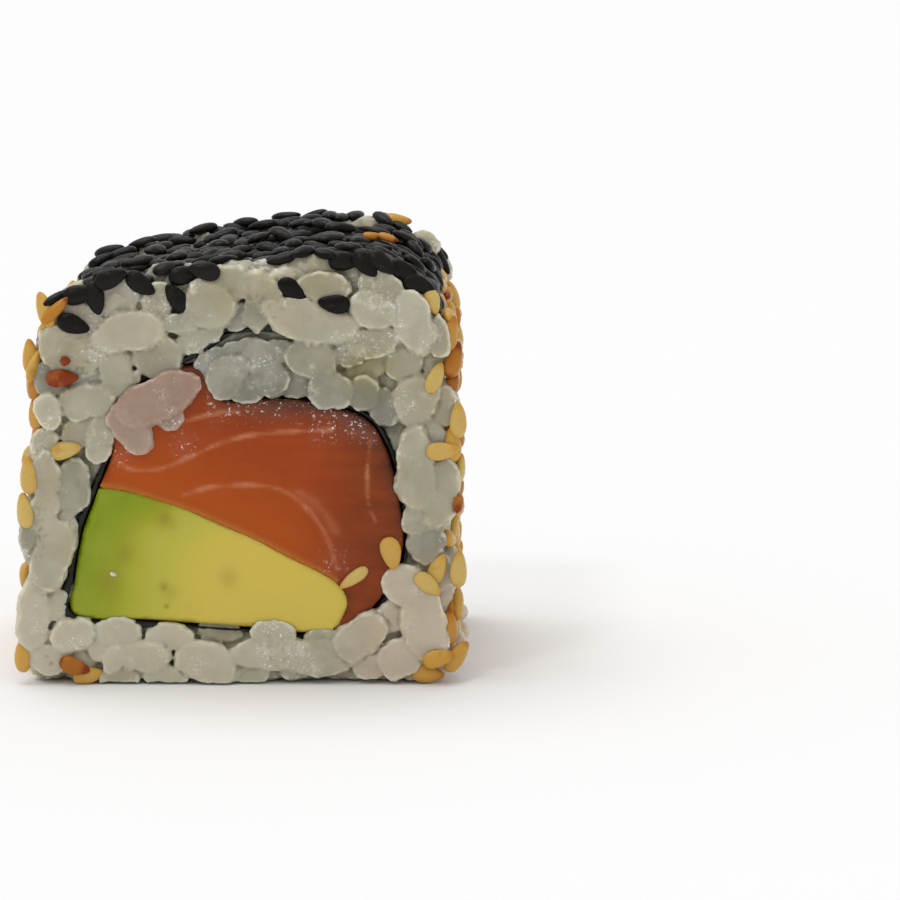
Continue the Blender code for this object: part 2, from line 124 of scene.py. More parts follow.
# Grains on the front cut: across, up, length, width, turn in degrees, and how far they stand proud.
FRONT_GRAINS = (
    (-14.4, 29.8, 5.9, 4.0, -20, 0.5), (-13.9, 32.5, 4.6, 3.2, -10, 0.2), (-10.2, 34.3, 4.0, 3.6, 90, 0.1),
    (-9.3, 31.4, 6.4, 3.3, 8, 0.8), (-12.2, 31.4, 3.0, 1.9, 95, 0.3), (-6.5, 29.5, 3.9, 3.8, 80, 0.4),
    (-6.8, 33.6, 4.4, 2.5, 80, 0.3), (-4.6, 32.3, 2.8, 1.7, 5, 0.6), (-2.2, 34.0, 4.6, 3.8, -35, 0.8),
    (-3.1, 31.0, 4.0, 2.2, 26, 0.3), (0.5, 32.7, 2.9, 2.1, 30, 0.1), (-0.6, 35.8, 4.4, 2.8, 10, 0.4),
    (-10.5, 28.0, 4.3, 2.7, 100, 0.4), (-12.9, 27.6, 3.4, 2.3, 20, 0.1), (-13.1, 25.5, 5.0, 2.9, 3, 0.6),
    (-16.4, 24.4, 3.1, 2.0, 102, 0.8), (-11.9, 22.3, 4.6, 2.2, 78, 0.3), (-9.1, 27.3, 1.9, 1.3, 30, 0.2),
    (-13.9, 22.9, 3.4, 2.3, 60, 0.0), (-16.5, 27.3, 3.2, 2.2, 95, 0.0), (-0.5, 28.6, 3.5, 2.7, 50, 0.5),
    (2.4, 29.5, 3.5, 2.3, -10, 0.3), (3.0, 27.8, 4.0, 2.8, -60, 0.5), (-0.9, 27.2, 3.3, 3.0, 20, 0.6),
    (1.1, 26.6, 3.2, 2.3, 0, 0.4), (5.2, 26.9, 3.4, 2.0, -10, -0.2), (6.7, 29.0, 4.6, 2.7, -20, 0.6),
    (8.5, 26.3, 4.0, 2.8, -4, 0.6), (11.4, 26.1, 3.3, 2.3, 85, 0.3), (13.6, 25.2, 3.3, 2.5, 100, 0.0),
    (9.9, 29.6, 2.6, 2.1, 20, 0.2), (8.1, 30.3, 2.8, 1.8, 5, -0.1), (12.3, 30.6, 4.6, 2.3, 10, 0.4),
    (6.8, 32.4, 8.4, 3.3, -13, 0.8), (12.1, 33.4, 4.0, 2.8, -30, 0.7), (7.7, 35.4, 4.6, 2.3, -5, 0.4),
    (2.4, 35.2, 4.2, 2.7, -20, 0.6), (2.0, 33.2, 3.4, 2.3, 70, 0.5), (12.8, 35.6, 4.0, 2.6, -32, 0.3),
    (15.8, 32.2, 5.7, 3.1, 108, 0.7), (18.0, 31.0, 3.6, 1.8, 92, 0.1), (14.9, 28.7, 3.4, 2.8, 90, -0.2),
    (11.6, 28.4, 3.6, 2.4, 15, -0.5), (16.0, 25.5, 4.6, 3.3, 65, 0.4), (15.9, 19.5, 7.4, 3.3, 93, 0.8),
    (18.2, 17.2, 6.2, 2.7, 76, 0.4), (15.8, 15.0, 2.9, 2.1, 80, 0.2), (17.0, 13.0, 4.0, 3.1, 70, 0.1),
    (14.9, 9.0, 4.2, 3.1, -35, 0.7), (16.6, 5.6, 6.6, 3.7, 98, 0.8), (14.5, 2.6, 3.9, 3.2, 30, 0.6),
    (10.9, 4.6, 5.2, 3.2, 38, 0.8), (11.8, 1.8, 2.9, 2.1, 5, 0.3), (13.7, 6.2, 3.2, 2.3, 60, 0.0),
    (3.2, 4.9, 3.9, 2.1, 0, 0.8), (2.5, 2.9, 6.2, 2.7, 5, 0.7), (7.0, 2.0, 7.3, 3.1, 3, 0.5),
    (7.8, 4.3, 3.1, 1.9, -10, 0.3), (1.1, 0.95, 3.4, 1.8, 0, 0.2), (-2.5, 2.1, 5.6, 3.2, -20, 0.8),
    (-5.9, 4.5, 4.2, 2.3, 0, 0.4), (-8.1, 2.8, 4.2, 2.6, -10, 0.7), (-10.5, 5.0, 3.9, 2.3, 0, 0.5),
    (-14.5, 4.8, 4.1, 2.7, 25, 0.8), (-12.2, 3.2, 3.2, 1.9, 90, 0.4), (-10.9, 2.7, 2.4, 1.6, 60, 0.7),
    (-10.4, 0.95, 3.6, 1.8, 0, 0.3), (-6.4, 0.95, 3.7, 1.8, 0, 0.4), (-16.9, 2.5, 3.8, 2.4, -22, 0.4),
    (-18.1, 6.7, 6.4, 2.6, 86, 0.6), (-16.2, 7.2, 3.2, 2.0, 60, 0.2), (-16.8, 11.9, 6.6, 3.2, 72, 0.9),
    (-15.5, 13.9, 3.2, 1.8, 90, 0.3), (-16.9, 15.8, 3.8, 2.3, 85, 0.5), (-14.4, 17.8, 5.2, 2.6, 86, 0.3),
    (-16.8, 18.8, 4.4, 2.1, 90, 0.5), (-16.9, 21.4, 3.2, 2.1, 80, 0.1), (-15.4, 9.0, 3.0, 1.6, 90, -0.5),
    (-1.6, 4.9, 3.6, 1.9, -5, -0.7), (-2.3, 28.9, 2.9, 1.6, 42, 0.1), (0.9, 30.1, 3.6, 1.5, 14, 0.0),
    (3.9, 30.0, 2.6, 1.4, -6, 0.1), (-17.9, 13.6, 4.8, 2.2, 88, 0.4),
)

# Places on the front cut where the rice is duller or paler than usual: across, up, radius and how much.
TONE_PATCHES = (
    (-13.0, 25.5, 2.6, -0.28), (7.0, 2.0, 3.2, -0.28), (-2.5, 2.3, 2.4, 0.35), (10.0, 28.6, 2.0, -0.3),
    (15.8, 32.2, 2.2, 0.35), (-17.0, 14.0, 5.5, -0.1), (-17.0, 6.7, 3.0, -0.12), (-0.5, 33.2, 3.4, -0.28),
    (16.0, 18.0, 4.0, -0.06), (14.5, 28.5, 2.0, -0.15),
)

# The grains that lie over the salmon's high corner let the fish's colour through.
PINK_GRAINS = (
    (-6.9, 25.5, 7.9, 3.5, 27, 1.0), (-9.0, 22.6, 4.2, 2.6, 130, 0.8), (-10.3, 24.0, 2.4, 2.0, 60, 0.6),
    (-5.6, 23.9, 2.6, 1.7, 45, 0.4),
)

# Seeds that stuck to the front cut: across, up, turn in degrees, and tone.
BLACK_ON_FRONT = (
    (-14.1, 32.2, -20, 0.2), (-5.1, 34.5, 128, 0.3), (5.1, 35.1, -38, 0.1), (8.7, 34.0, 172, 0.1),
    (-8.2, 35.7, -35, 0.5), (-12.2, 34.4, -75, 0.6), (-13.6, 34.7, 12, 0.4), (-10.8, 36.2, 22, 0.5),
    (-4.4, 36.4, 14, 0.4), (-2.6, 36.9, 170, 0.7), (11.5, 37.4, -50, 0.3), (12.9, 37.5, -40, 0.6),
    (14.5, 36.8, -12, 0.4), (16.1, 35.5, -20, 0.5), (9.7, 37.6, 0, 0.5), (15.2, 37.3, -55, 0.3),
)
TOASTED_ON_FRONT = (
    (-15.2, 27.5, 2, 0.0), (-15.0, 21.1, 15, 0.95), (16.9, 9.3, -40, 0.9), (17.8, 10.6, 70, 0.8),
    (17.9, 2.8, 12, 0.5), (16.9, 1.2, -8, 0.5), (-14.4, 2.0, -20, 0.12), (-13.2, 1.1, 12, 0.7),
    (18.2, 21.1, 5, 0.8),
)
CORNER_SEED = (17.3, 34.0, -75, 0.95)
RED_DOT = (-14.85, 29.0)
CRUMB = (-10.9, 9.9)
SLANTED_SEED = (-15.7, 33.4, 45, 0.27)
# Toasted seeds that strayed onto the top: across, back from the middle, turn from the roll's axis, and tone.
STRAYS_ON_TOP = ((11.9, -2.0, 70, 0.22), (13.3, -2.4, 110, 0.26), (13.9, 14.2, 80, 0.5))

# Seeds on the side walls close behind the front cut: side, up, how far back, turn from upright, and tone.
TOASTED_ON_EDGE = (
    (-1, 33.4, 0.7, 35, 0.7), (-1, 29.1, 1.9, 4, 0.6), (-1, 26.8, 1.2, -4, 0.3), (-1, 24.1, 1.4, 5, 0.45),
    (-1, 22.2, 2.3, -8, 0.35), (-1, 18.7, 0.6, 3, 0.8), (-1, 15.5, 0.6, 12, 0.95), (-1, 2.5, 0.8, -4, 0.6),
    (1, 27.4, 0.5, 42, 0.9), (1, 28.8, 2.0, 30, 0.15), (1, 26.4, 2.2, 25, 0.12),
    (1, 23.6, 0.7, -2, 0.85), (1, 21.4, 0.8, -10, 0.6), (1, 23.2, 2.4, 5, 0.3), (1, 10.2, 1.0, 3, 0.9),
    (1, 8.0, 1.0, -4, 0.5), (1, 4.9, 1.2, 0, 0.35), (1, 2.3, 1.3, 60, 0.5), (1, 31.2, 1.6, 20, 0.4),
)
SEEDS_ON_SALMON = ((13.7, 11.8, -78, 1.75, 0.7), (10.4, 9.6, 215, 1.1, 0.95))

# Patches of the walls and the top that no seed stuck to: across, back from the middle, up, and radius.
BARE_PATCHES = (
    (-18.7, -15.5, 9.0, 5.0), (-18.5, -16.0, 17.5, 3.4), (-18.0, -16.0, 23.0, 2.8), (-18.8, 6.0, 17.0, 2.4),
    (18.0, -16.3, 13.5, 2.0), (18.0, -16.3, 31.0, 1.8), (3.0, 4.0, 38.0, 2.2), (-4.5, 9.0, 37.0, 1.9),
    (9.4, 9.5, 38.0, 2.7), (-11.0, 3.0, 36.0, 1.6), (0.5, -12.5, 37.5, 1.5), (6.5, -13.5, 37.5, 1.7),
)

# The seaweed along its path from the flap to its inner end: share of the path, thickness, and how far
# its cut edge lies behind the face.
NORI_EDGE = (
    (0.0, 0.5, 0.4), (0.02, 0.85, 0.15), (0.035, 0.5, 0.2), (0.045, 0.22, 0.3), (0.075, 0.24, 0.3),
    (0.095, 0.6, 0.2), (0.14, 0.55, 0.2), (0.22, 0.3, 0.5), (0.28, 0.5, 0.2), (0.38, 0.8, 0.1),
    (0.44, 0.6, 0.1), (0.48, 0.2, 0.3), (0.6, 0.14, 0.4), (0.66, 0.16, 0.5), (0.74, 0.24, 0.4),
    (0.84, 0.26, 0.4), (0.92, 0.22, 0.6), (1.0, 0.22, 0.7),
)


# Curves in the section


def even_points(points, spacing, closed):
    """A smooth curve through the points (Catmull-Rom), read off at an even spacing."""
    p = np.array(points, float)
    if closed:
        p = np.vstack([p[-1], p, p[0], p[1]])
    else:
        p = np.vstack([2 * p[0] - p[1], p, 2 * p[-1] - p[-2]])
    steps = np.linspace(0, 1, 24, endpoint=False)[:, None]
    fine = []
    for a, b, c, d in zip(p, p[1:], p[2:], p[3:]):
        fine.append(
            0.5
            * (2 * b + (c - a) * steps + (2 * a - 5 * b + 4 * c - d) * steps**2
               + (3 * b - a - 3 * c + d) * steps**3)
        )
    fine = np.vstack([*fine, p[-2]])
    along = np.concatenate([[0], np.cumsum(np.linalg.norm(np.diff(fine, axis=0), axis=1))])
    count = max(4, round(along[-1] / spacing))
    at = np.linspace(0, along[-1], count + 1)
    if closed:
        at = at[:-1]
    return np.stack([np.interp(at, along, fine[:, k]) for k in range(2)], axis=1)


def normals_of(path, closed):
    """The right-hand normal at each point: outwards on an anticlockwise loop."""
    if closed:
        tangent = np.roll(path, -1, axis=0) - np.roll(path, 1, axis=0)
    else:
        tangent = np.gradient(path, axis=0)
    tangent /= np.linalg.norm(tangent, axis=1)[:, None]
    return np.stack([tangent[:, 1], -tangent[:, 0]], axis=1)


def offset(path, distance, closed):
    return path + normals_of(path, closed) * distance


def distances(points, path, closed=True):
    """Each point's distance to a path."""
    a = path if closed else path[:-1]
    b = np.roll(path, -1, axis=0) if closed else path[1:]
    side = b - a
    best = np.full(len(points), np.inf)
    for start, along in zip(a, side):
        t = np.clip((points - start) @ along / max(along @ along, 1e-12), 0, 1)
        best = np.minimum(best, np.linalg.norm(points - start - t[:, None] * along, axis=1))
    return best


def within(points, loop):
    """Whether each point is inside the loop."""
    result = np.zeros(len(points), bool)
    x, z = points[:, 0], points[:, 1]
    for (ax, az), (bx, bz) in zip(loop, np.roll(loop, -1, axis=0)):
        if az == bz:
            continue
        crosses = (az > z) != (bz > z)
        result ^= crosses & (x < ax + (z - az) * (bx - ax) / (bz - az))
    return result


def outer_outline(inset, spacing):
    """The rice's outline, inset by a distance, without the points that fold over at its corners."""
    loop = even_points([(x * WIDTH / 2, z * HEIGHT) for x, z in OUTER_SHAPE], spacing, True)
    if not inset:
        return loop
    moved = offset(loop, -inset, True)
    return moved[distances(moved, loop) > inset * 0.97]


def filling_outline(grow, spacing=0.5):
    return offset(even_points(FILLING_SHAPE, spacing, True), grow, True)


def nori_path(spacing=0.4):
    """The middle of the seaweed: from the flap's end, down the left side, round, and over the top."""
    around = filling_outline(SLIT + NORI_THICK / 2, spacing)
    first = int(np.argmin(np.linalg.norm(around - FLAP_LEAVES_AT, axis=1)))
    around = np.roll(around, -first, axis=0)
    stop = int(np.argmin(np.linalg.norm(around - INNER_END_AT, axis=1)))
    route = np.vstack([np.array(FLAP_SHAPE)[::-1], around[: stop + 1 : 3]])
    return even_points(route, spacing, False)


OUTLINE = outer_outline(0.0, 1.0)


def drift(points):
    """Carries the inside of the roll over and round a little from front to back, then slumps the whole."""
    flat = points[:, (0, 2)]
    hold = np.minimum(1.0, distances(flat, OUTLINE) / DRIFT_FADE) * within(flat, OUTLINE)
    amount = (points[:, 1] / (2 * FACE) + 0.5) * hold
    turn = TURN * amount
    dx, dz = points[:, 0] - TURN_CENTRE[0], points[:, 2] - TURN_CENTRE[1]
    moved = points.copy()
    moved[:, 0] = TURN_CENTRE[0] + dx * np.cos(turn) - dz * np.sin(turn) + DRIFT[0] * amount
    moved[:, 2] = TURN_CENTRE[1] + dx * np.sin(turn) + dz * np.cos(turn) + DRIFT[1] * amount
    return slump(moved)


def smooth_step(value, low, high):
    t = np.clip((value - low) / (high - low), 0, 1)
    return t * t * (3 - 2 * t)


def slump(points):
    """Rounds off the roll's high left shoulder and fills out the right one, more so towards the back."""
    share = np.clip(points[:, 1] / (2 * FACE) + 0.5, 0, 1)
    moved = points.copy()
    for side, start, full, low, high, move in SHOULDERS:
        part = share * smooth_step(side * points[:, 0], start, full) * smooth_step(points[:, 2], low, high)
        moved[:, (0, 2)] += np.array(move) * part[:, None]
    return moved


# Meshes


def add_piece(name, points, faces, attributes, material):
    mesh = bpy.data.meshes.new(name)
    mesh.from_pydata((np.asarray(points) * MM).tolist(), [], faces)
    for key, values in attributes.items():
        layer = mesh.attributes.new(key, "FLOAT", "POINT")
        layer.data.foreach_set("value", np.asarray(values, np.float32))
    mesh.materials.append(material)
    mesh.shade_smooth()
    obj = bpy.data.objects.new(name, mesh)
    bpy.context.scene.collection.objects.link(obj)
    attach(obj, "root")
    return obj


def grid_faces(rings, sides, start):
    """Faces of a closed form whose points are a tail, rings of points, and a tip."""
    faces = []
    tip = start + 1 + rings * sides
    for k in range(sides):
        after = (k + 1) % sides
        faces.append((start, start + 1 + after, start + 1 + k))
        last = start + 1 + (rings - 1) * sides
        faces.append((tip, last + k, last + after))
        for ring in range(rings - 1):
            low = start + 1 + ring * sides
            high = low + sides
            faces.append((low + k, low + after, high + after, high + k))
    return faces


def mesh_object(name, points, faces):
    mesh = bpy.data.meshes.new(name)
    mesh.from_pydata(np.asarray(points).tolist(), [], faces)
    obj = bpy.data.objects.new(name, mesh)
    bpy.context.scene.collection.objects.link(obj)
    return obj


def apply_modifiers(obj):
    graph = bpy.context.evaluated_depsgraph_get()
    mesh = bpy.data.meshes.new_from_object(obj.evaluated_get(graph))
    obj.modifiers.clear()
    obj.data = mesh
    return mesh


def read_vectors(items, key):
    values = np.empty(len(items) * 3)
    items.foreach_get(key, values)
    return values.reshape(-1, 3)


def bulge_of(mesh, points, normals, rounds):
    """How far each point stands out of its neighbourhood: above 0 on an edge, below 0 in a cleft."""
    edges = np.empty(len(mesh.edges) * 2, int)
    mesh.edges.foreach_get("vertices", edges)
    a, b = edges[::2], edges[1::2]
    size = len(points)
    links = np.bincount(a, minlength=size) + np.bincount(b, minlength=size)

    def mean(values):
        total = np.bincount(a, values[b], size) + np.bincount(b, values[a], size)
        return total / np.maximum(links, 1)

    around = points.copy()
    for _ in range(rounds):
        around = np.stack([mean(around[:, k]) for k in range(3)], axis=1)
    return mean(((points - around) * normals).sum(1))


def crumple(points, scale, depth):
    """A small uneven relief for each point."""
    return np.array([noise.noise(point) for point in (points * scale).tolist()]) * depth


def warp(points, scale, depth, start=0.0):
    """A small uneven shift along the cut face for each point."""
    shift = np.array([noise.noise_vector(point) for point in (points * scale + start).tolist()]) * depth
    shift[:, 1] = 0.0
    return shift


class Heap:
    """Many small closed forms joined into one mesh."""

    def __init__(self):
        self.points, self.faces, self.tones, self.count = [], [], [], 0

    def add(self, points, rings, sides, tone):
        self.faces += grid_faces(rings, sides, self.count)
        self.points.append(points)
        self.tones.append(np.broadcast_to(tone, len(points)))
        self.count += len(points)

    def add_solid(self, points, faces):
        self.faces += [tuple(self.count + i for i in face) for face in faces]
        self.points.append(points)
        self.tones.append(np.full(len(points), 0.4))
        self.count += len(points)

    def all_points(self):
        return np.vstack(self.points)

    def piece(self, name, slot, material):
        attributes = {"tone": np.concatenate(self.tones)}
        return add_piece(name, self.all_points(), self.faces, attributes, material)

    def melted(self, voxel):
        """The forms stuck together into one skin: (points, faces, attributes), toned by the nearest form."""
        obj = mesh_object("melt", self.all_points(), self.faces)
        remesh = obj.modifiers.new("remesh", "REMESH")
        remesh.mode = "VOXEL"
        remesh.voxel_size = voxel
        smooth = obj.modifiers.new("smooth", "SMOOTH")
        smooth.factor = 0.5
        smooth.iterations = 1
        skin = apply_modifiers(obj)
        points, normals = read_vectors(skin.vertices, "co"), read_vectors(skin.vertices, "normal")
        points += normals * (crumple(points, 0.9, 0.08) + crumple(points, 2.6, 0.045))[:, None]
        points += warp(points, 2.1, 0.09)
        skin.vertices.foreach_set("co", points.ravel())
        layer = skin.attributes.new("bulge", "FLOAT", "POINT")
        bulge = bulge_of(skin, points, normals, max(2, round((0.32 / voxel) ** 2)))
        layer.data.foreach_set("value", bulge.astype(np.float32))
        thin = obj.modifiers.new("thin", "DECIMATE")
        thin.ratio = min(1.0, MOST_TRIANGLES / (2 * len(skin.polygons)))
        thinned = apply_modifiers(obj)
        points = read_vectors(thinned.vertices, "co")
        faces = [tuple(polygon.vertices) for polygon in thinned.polygons]
        bulge = np.empty(len(points), np.float32)
        thinned.attributes["bulge"].data.foreach_get("value", bulge)
        bpy.data.objects.remove(obj, do_unlink=True)
        tree = KDTree(self.count)
        for index, point in enumerate(self.all_points()):
            tree.insert(point, index)
        tree.balance()
        tones = np.concatenate(self.tones)
        nearest = [tree.find(point)[1] for point in points]
        x, z = points[:, 0], points[:, 2]
        attributes = {
            "tone": tones[nearest],
            "blush": smooth_step(x, 8.0, 13.0) * (1 - smooth_step(z, 8.0, 14.0))
            + 0.4 * bell(np.hypot(x + 12, z - 33), 3),
            "amber": bell(np.hypot((x - 11.8) / 3.4, (z - 28.2) / 1.9), 1.0),
            # rim and cleft carry a painted highlight on the grains' edges and painted shade in the clefts
            # between them.
            "rim": np.clip(bulge / FULL_BULGE, 0, 1),
            "cleft": np.clip(-bulge / FULL_BULGE, 0, 1),
        }
        return points, faces, attributes


def round_form(rings, sides, profile, aspect_noise, draw):
    """Points of a unit form along X: a tail, rings and a tip, with a gentle lumpiness."""
    theta = np.linspace(0, math.pi, rings + 2)[1:-1]
    t = -np.cos(theta)
    phi = np.linspace(0, 2 * math.pi, sides, endpoint=False)
    radius = profile(t)
    phases = draw.uniform(0, 2 * math.pi, 6)
    lumps = 1 + aspect_noise * (
        0.5 * np.sin(2.6 * t[:, None] + 2 * phi + phases[0])
        + 0.35 * np.sin(4.4 * t[:, None] - phi + phases[1])
        + 0.3 * np.sin(6.0 * t[:, None] + 3 * phi + phases[2])
    )
    r = radius[:, None] * lumps
    ring = np.stack([np.repeat(t[:, None], sides, 1), r * np.cos(phi), r * np.sin(phi)], axis=2)
    return np.vstack([[-1.0, 0, 0], ring.reshape(-1, 3), [1.0, 0, 0]])


def frame_axes(along, outward):
    outward = np.array(outward, float)
    outward /= np.linalg.norm(outward)
    along = np.array(along, float)
    along -= outward * (along @ outward)
    along /= np.linalg.norm(along)
    return np.array([along, np.cross(outward, along), outward])


def make_grain(draw, centre, along, outward, size, rings=11, sides=12, lumps=0.09):
    """A plump cooked grain: blunt ends, one fuller than the other, bent a little."""
    form = round_form(rings, sides, lambda t: (1 - np.abs(t) ** 2.5) ** 0.5, lumps, draw)
    fuller = draw.uniform(-0.1, 0.1)
    form[:, 1:] *= (1 + fuller * form[:, :1])
    bend = draw.uniform(-0.16, 0.16)
    form[:, 1] += bend * (form[:, 0] ** 2 - 0.33)
    form[:, 2] += draw.uniform(-0.12, 0.04) * (form[:, 0] ** 2 - 0.33)
    return (form * np.array(size) / 2) @ frame_axes(along, outward) + np.array(centre)


def make_seed(draw, centre, along, outward, size, rings=9, sides=12):
    """A sesame seed: a flattened drop, blunt behind and drawn to a point in front."""
    form = round_form(rings, sides, lambda t: np.sqrt(np.maximum(1 - t**2, 0)) ** 0.85, 0.02, draw)
    t = form[:, 0]
    form[:, 1] *= 1.03 - 0.29 * t - 0.1 * t**2
    form[:, 2] *= 1.0 - 0.2 * t
    form[:, 1] += draw.uniform(-0.09, 0.09) * (t**2 - 0.33)
    form[:, 2] += draw.uniform(-0.1, 0.1) * (t**2 - 0.33)
    return (form * np.array(size) / 2) @ frame_axes(along, outward) + np.array(centre)


def press(points, floor, face):
    """Flattens what passes the table below or the knife's cut in front and behind."""
    pressed = points.copy()
    y = pressed[:, 1]
    over = np.maximum(np.abs(y) - face, 0)
    pressed[:, 1] = np.where(over > 0, np.sign(y) * (face + 0.35 * over), y)
    pressed[:, 2] = np.maximum(pressed[:, 2], floor)
    return pressed


# Materials


class Nodes:
    """A material being built up from nodes, with short calls for the ones used here."""

    def __init__(self, name):
        self.material = bpy.data.materials.new(name)
        self.material.use_nodes = True
        self.tree = self.material.node_tree
        self.shader = self.tree.nodes["Principled BSDF"]
        self.place = self.add("ShaderNodeTexCoord").outputs["Object"]

    def add(self, kind, **settings):
        node = self.tree.nodes.new(kind)
        for key, value in settings.items():
            setattr(node, key, value)
        return node

    def link(self, source, target):
        self.tree.links.new(source, target)

    def put(self, target, value):
        if isinstance(value, bpy.types.NodeSocket):
            self.link(value, target)
        elif isinstance(value, tuple) and len(value) == 3 and target.type == "RGBA":
            target.default_value = (*value, 1.0)
        else:
            target.default_value = value

    def noise(self, scale, detail=3.0, roughness=0.5, stretch=None):
        node = self.add("ShaderNodeTexNoise")
        place = self.place
        if stretch:
            mapping = self.add("ShaderNodeMapping")
            mapping.inputs["Scale"].default_value = stretch
            self.link(place, mapping.inputs["Vector"])
            place = mapping.outputs["Vector"]
        self.link(place, node.inputs["Vector"])
        node.inputs["Scale"].default_value = scale
        node.inputs["Detail"].default_value = detail
        node.inputs["Roughness"].default_value = roughness
        return node.outputs["Fac"]

    def attribute(self, name):
        return self.add("ShaderNodeAttribute", attribute_name=name).outputs["Fac"]

    def ramp(self, value, low, high, to_low=0.0, to_high=1.0):
        node = self.add("ShaderNodeMapRange", interpolation_type="SMOOTHSTEP")
        self.put(node.inputs["Value"], value)
        for key, number in zip(("From Min", "From Max", "To Min", "To Max"), (low, high, to_low, to_high)):
            node.inputs[key].default_value = number
        return node.outputs["Result"]

    def gradient(self, value, stops):
        """A colour that runs through the stops, each a place and a colour."""
        node = self.add("ShaderNodeValToRGB")
        self.link(value, node.inputs["Fac"])
        elements = node.color_ramp.elements
        while len(elements) < len(stops):
            elements.new(1.0)
        for element, (place, colour) in zip(elements, stops):
            element.position = place
            element.color = (*colour, 1.0)
        return node.outputs["Color"]

    def math(self, operation, a, b=0.0):
        node = self.add("ShaderNodeMath", operation=operation)
        self.put(node.inputs[0], a)
        self.put(node.inputs[1], b)
        return node.outputs[0]

    def mix(self, factor, a, b):
        node = self.add("ShaderNodeMix", data_type="RGBA")
        self.put(node.inputs[0], factor)
        self.put(node.inputs[6], a)
        self.put(node.inputs[7], b)
        return node.outputs[2]

    def bump(self, height, strength, depth):
        node = self.add("ShaderNodeBump")
        node.inputs["Strength"].default_value = strength
        node.inputs["Distance"].default_value = depth
        self.link(height, node.inputs["Height"])
        self.link(node.outputs["Normal"], self.shader.inputs["Normal"])

    def set(self, **values):
        for key, value in values.items():
            self.put(self.shader.inputs[key.replace("_", " ")], value)


def rice_material(name, pale, warm, cool, bright, dull):
    n = Nodes(name)
    tone = n.attribute("tone")
    cloud = n.ramp(n.noise(300, 4), 0.38, 0.7, 0.0, 0.25)
    colour = n.mix(n.ramp(tone, 0.1, 0.5), cool, warm)
    colour = n.mix(n.ramp(tone, 0.45, 0.95), colour, pale)
    colour = n.mix(n.ramp(n.noise(140, 2), 0.42, 0.62, 0.0, 0.3), colour, dull)
    colour = n.mix(n.math("MULTIPLY", n.attribute("blush"), 0.6), colour, (0.60, 0.48, 0.36))
    colour = n.mix(n.math("MULTIPLY", n.attribute("amber"), 0.9), colour, (0.31, 0.26, 0.10))
    colour = n.mix(cloud, colour, bright)
    # Painted shade darkens the clefts between grains, and a painted highlight pales their rims.
    colour = n.mix(n.ramp(n.attribute("cleft"), 0.3, 1.0, 0.0, 0.55), colour, (0.23, 0.21, 0.11))
    colour = n.mix(n.ramp(n.attribute("rim"), 0.45, 1.0, 0.0, 0.5), colour, bright)
    wet = n.ramp(n.noise(330, 2), 0.54, 0.66)
    # The wet patches get a painted sheen and, in finer spots, painted glints of near white.
    painted_sheen = n.math("MULTIPLY", wet, n.ramp(n.noise(1100, 3, 0.6), 0.52, 0.66, 0.0, 0.5))
    colour = n.mix(painted_sheen, colour, bright)
    painted_glints = n.math("MULTIPLY", wet, n.ramp(n.noise(4200, 2, 0.6), 0.60, 0.68))
    colour = n.mix(n.math("MULTIPLY", painted_glints, 0.75), colour, (0.95, 0.95, 0.93))
    n.set(Base_Color=colour, Subsurface_Weight=1.0, Subsurface_Scale=1.2 * MM)
    n.set(Subsurface_Radius=(1.0, 0.88, 0.62))
    n.set(Roughness=n.ramp(wet, 0.0, 1.0, 0.42, 0.2), Specular_IOR_Level=0.4)
    n.set(Coat_Weight=n.math("MULTIPLY", wet, 0.5), Coat_Roughness=0.1)
    height = n.math("ADD", n.noise(1500, 4, 0.6), n.math("MULTIPLY", wet, n.noise(3600, 2)))
    n.bump(height, 0.2, 0.12 * MM)
    return n.material


def black_seed_material():
    n = Nodes("sesame_black")
    tone = n.attribute("tone")
    colour = n.mix(tone, (0.0055, 0.0047, 0.0042), (0.018, 0.015, 0.0125))
    colour = n.mix(n.ramp(n.noise(1400, 3), 0.55, 0.8), colour, (0.022, 0.017, 0.014))
    n.set(Base_Color=colour, Roughness=n.ramp(n.noise(1800, 2), 0.3, 0.7, 0.2, 0.36))
    n.set(Specular_IOR_Level=0.12)
    n.bump(n.noise(1900, 4, 0.65), 0.7, 0.07 * MM)
    return n.material


def toasted_seed_material():
    """From deep orange at tone 0, through gold, to straw at tone 1."""
    n = Nodes("sesame_toasted")
    tone = n.attribute("tone")
    colour = n.mix(n.ramp(tone, 0.0, 0.2), (0.25, 0.034, 0.003), (0.50, 0.20, 0.020))
    colour = n.mix(n.ramp(tone, 0.2, 0.55), colour, (0.61, 0.345, 0.064))
    colour = n.mix(n.ramp(tone, 0.55, 1.0), colour, (0.635, 0.46, 0.14))
    colour = n.mix(n.ramp(n.noise(600, 3), 0.54, 0.75, 0.0, 0.5), colour, (0.48, 0.21, 0.022))
    n.set(Base_Color=colour, Subsurface_Weight=0.25, Subsurface_Scale=0.4 * MM, Specular_IOR_Level=0.15)
    n.set(Subsurface_Radius=(1.0, 0.6, 0.25))
    n.set(Roughness=n.ramp(n.noise(1500, 2), 0.3, 0.7, 0.2, 0.36), Coat_Weight=0.12, Coat_Roughness=0.12)
    n.bump(n.noise(1600, 3, 0.6), 0.25, 0.05 * MM)
    return n.material


def nori_material():
    n = Nodes("nori")
    fibre = n.noise(900, 5, 0.7, (1.0, 0.35, 1.0))
    colour = n.mix(n.ramp(fibre, 0.35, 0.7), (0.006, 0.006, 0.003), (0.020, 0.021, 0.009))
    n.set(Base_Color=colour, Roughness=n.ramp(fibre, 0.3, 0.7, 0.3, 0.65), Specular_IOR_Level=0.3)
    n.bump(fibre, 0.7, 0.15 * MM)
    return n.material


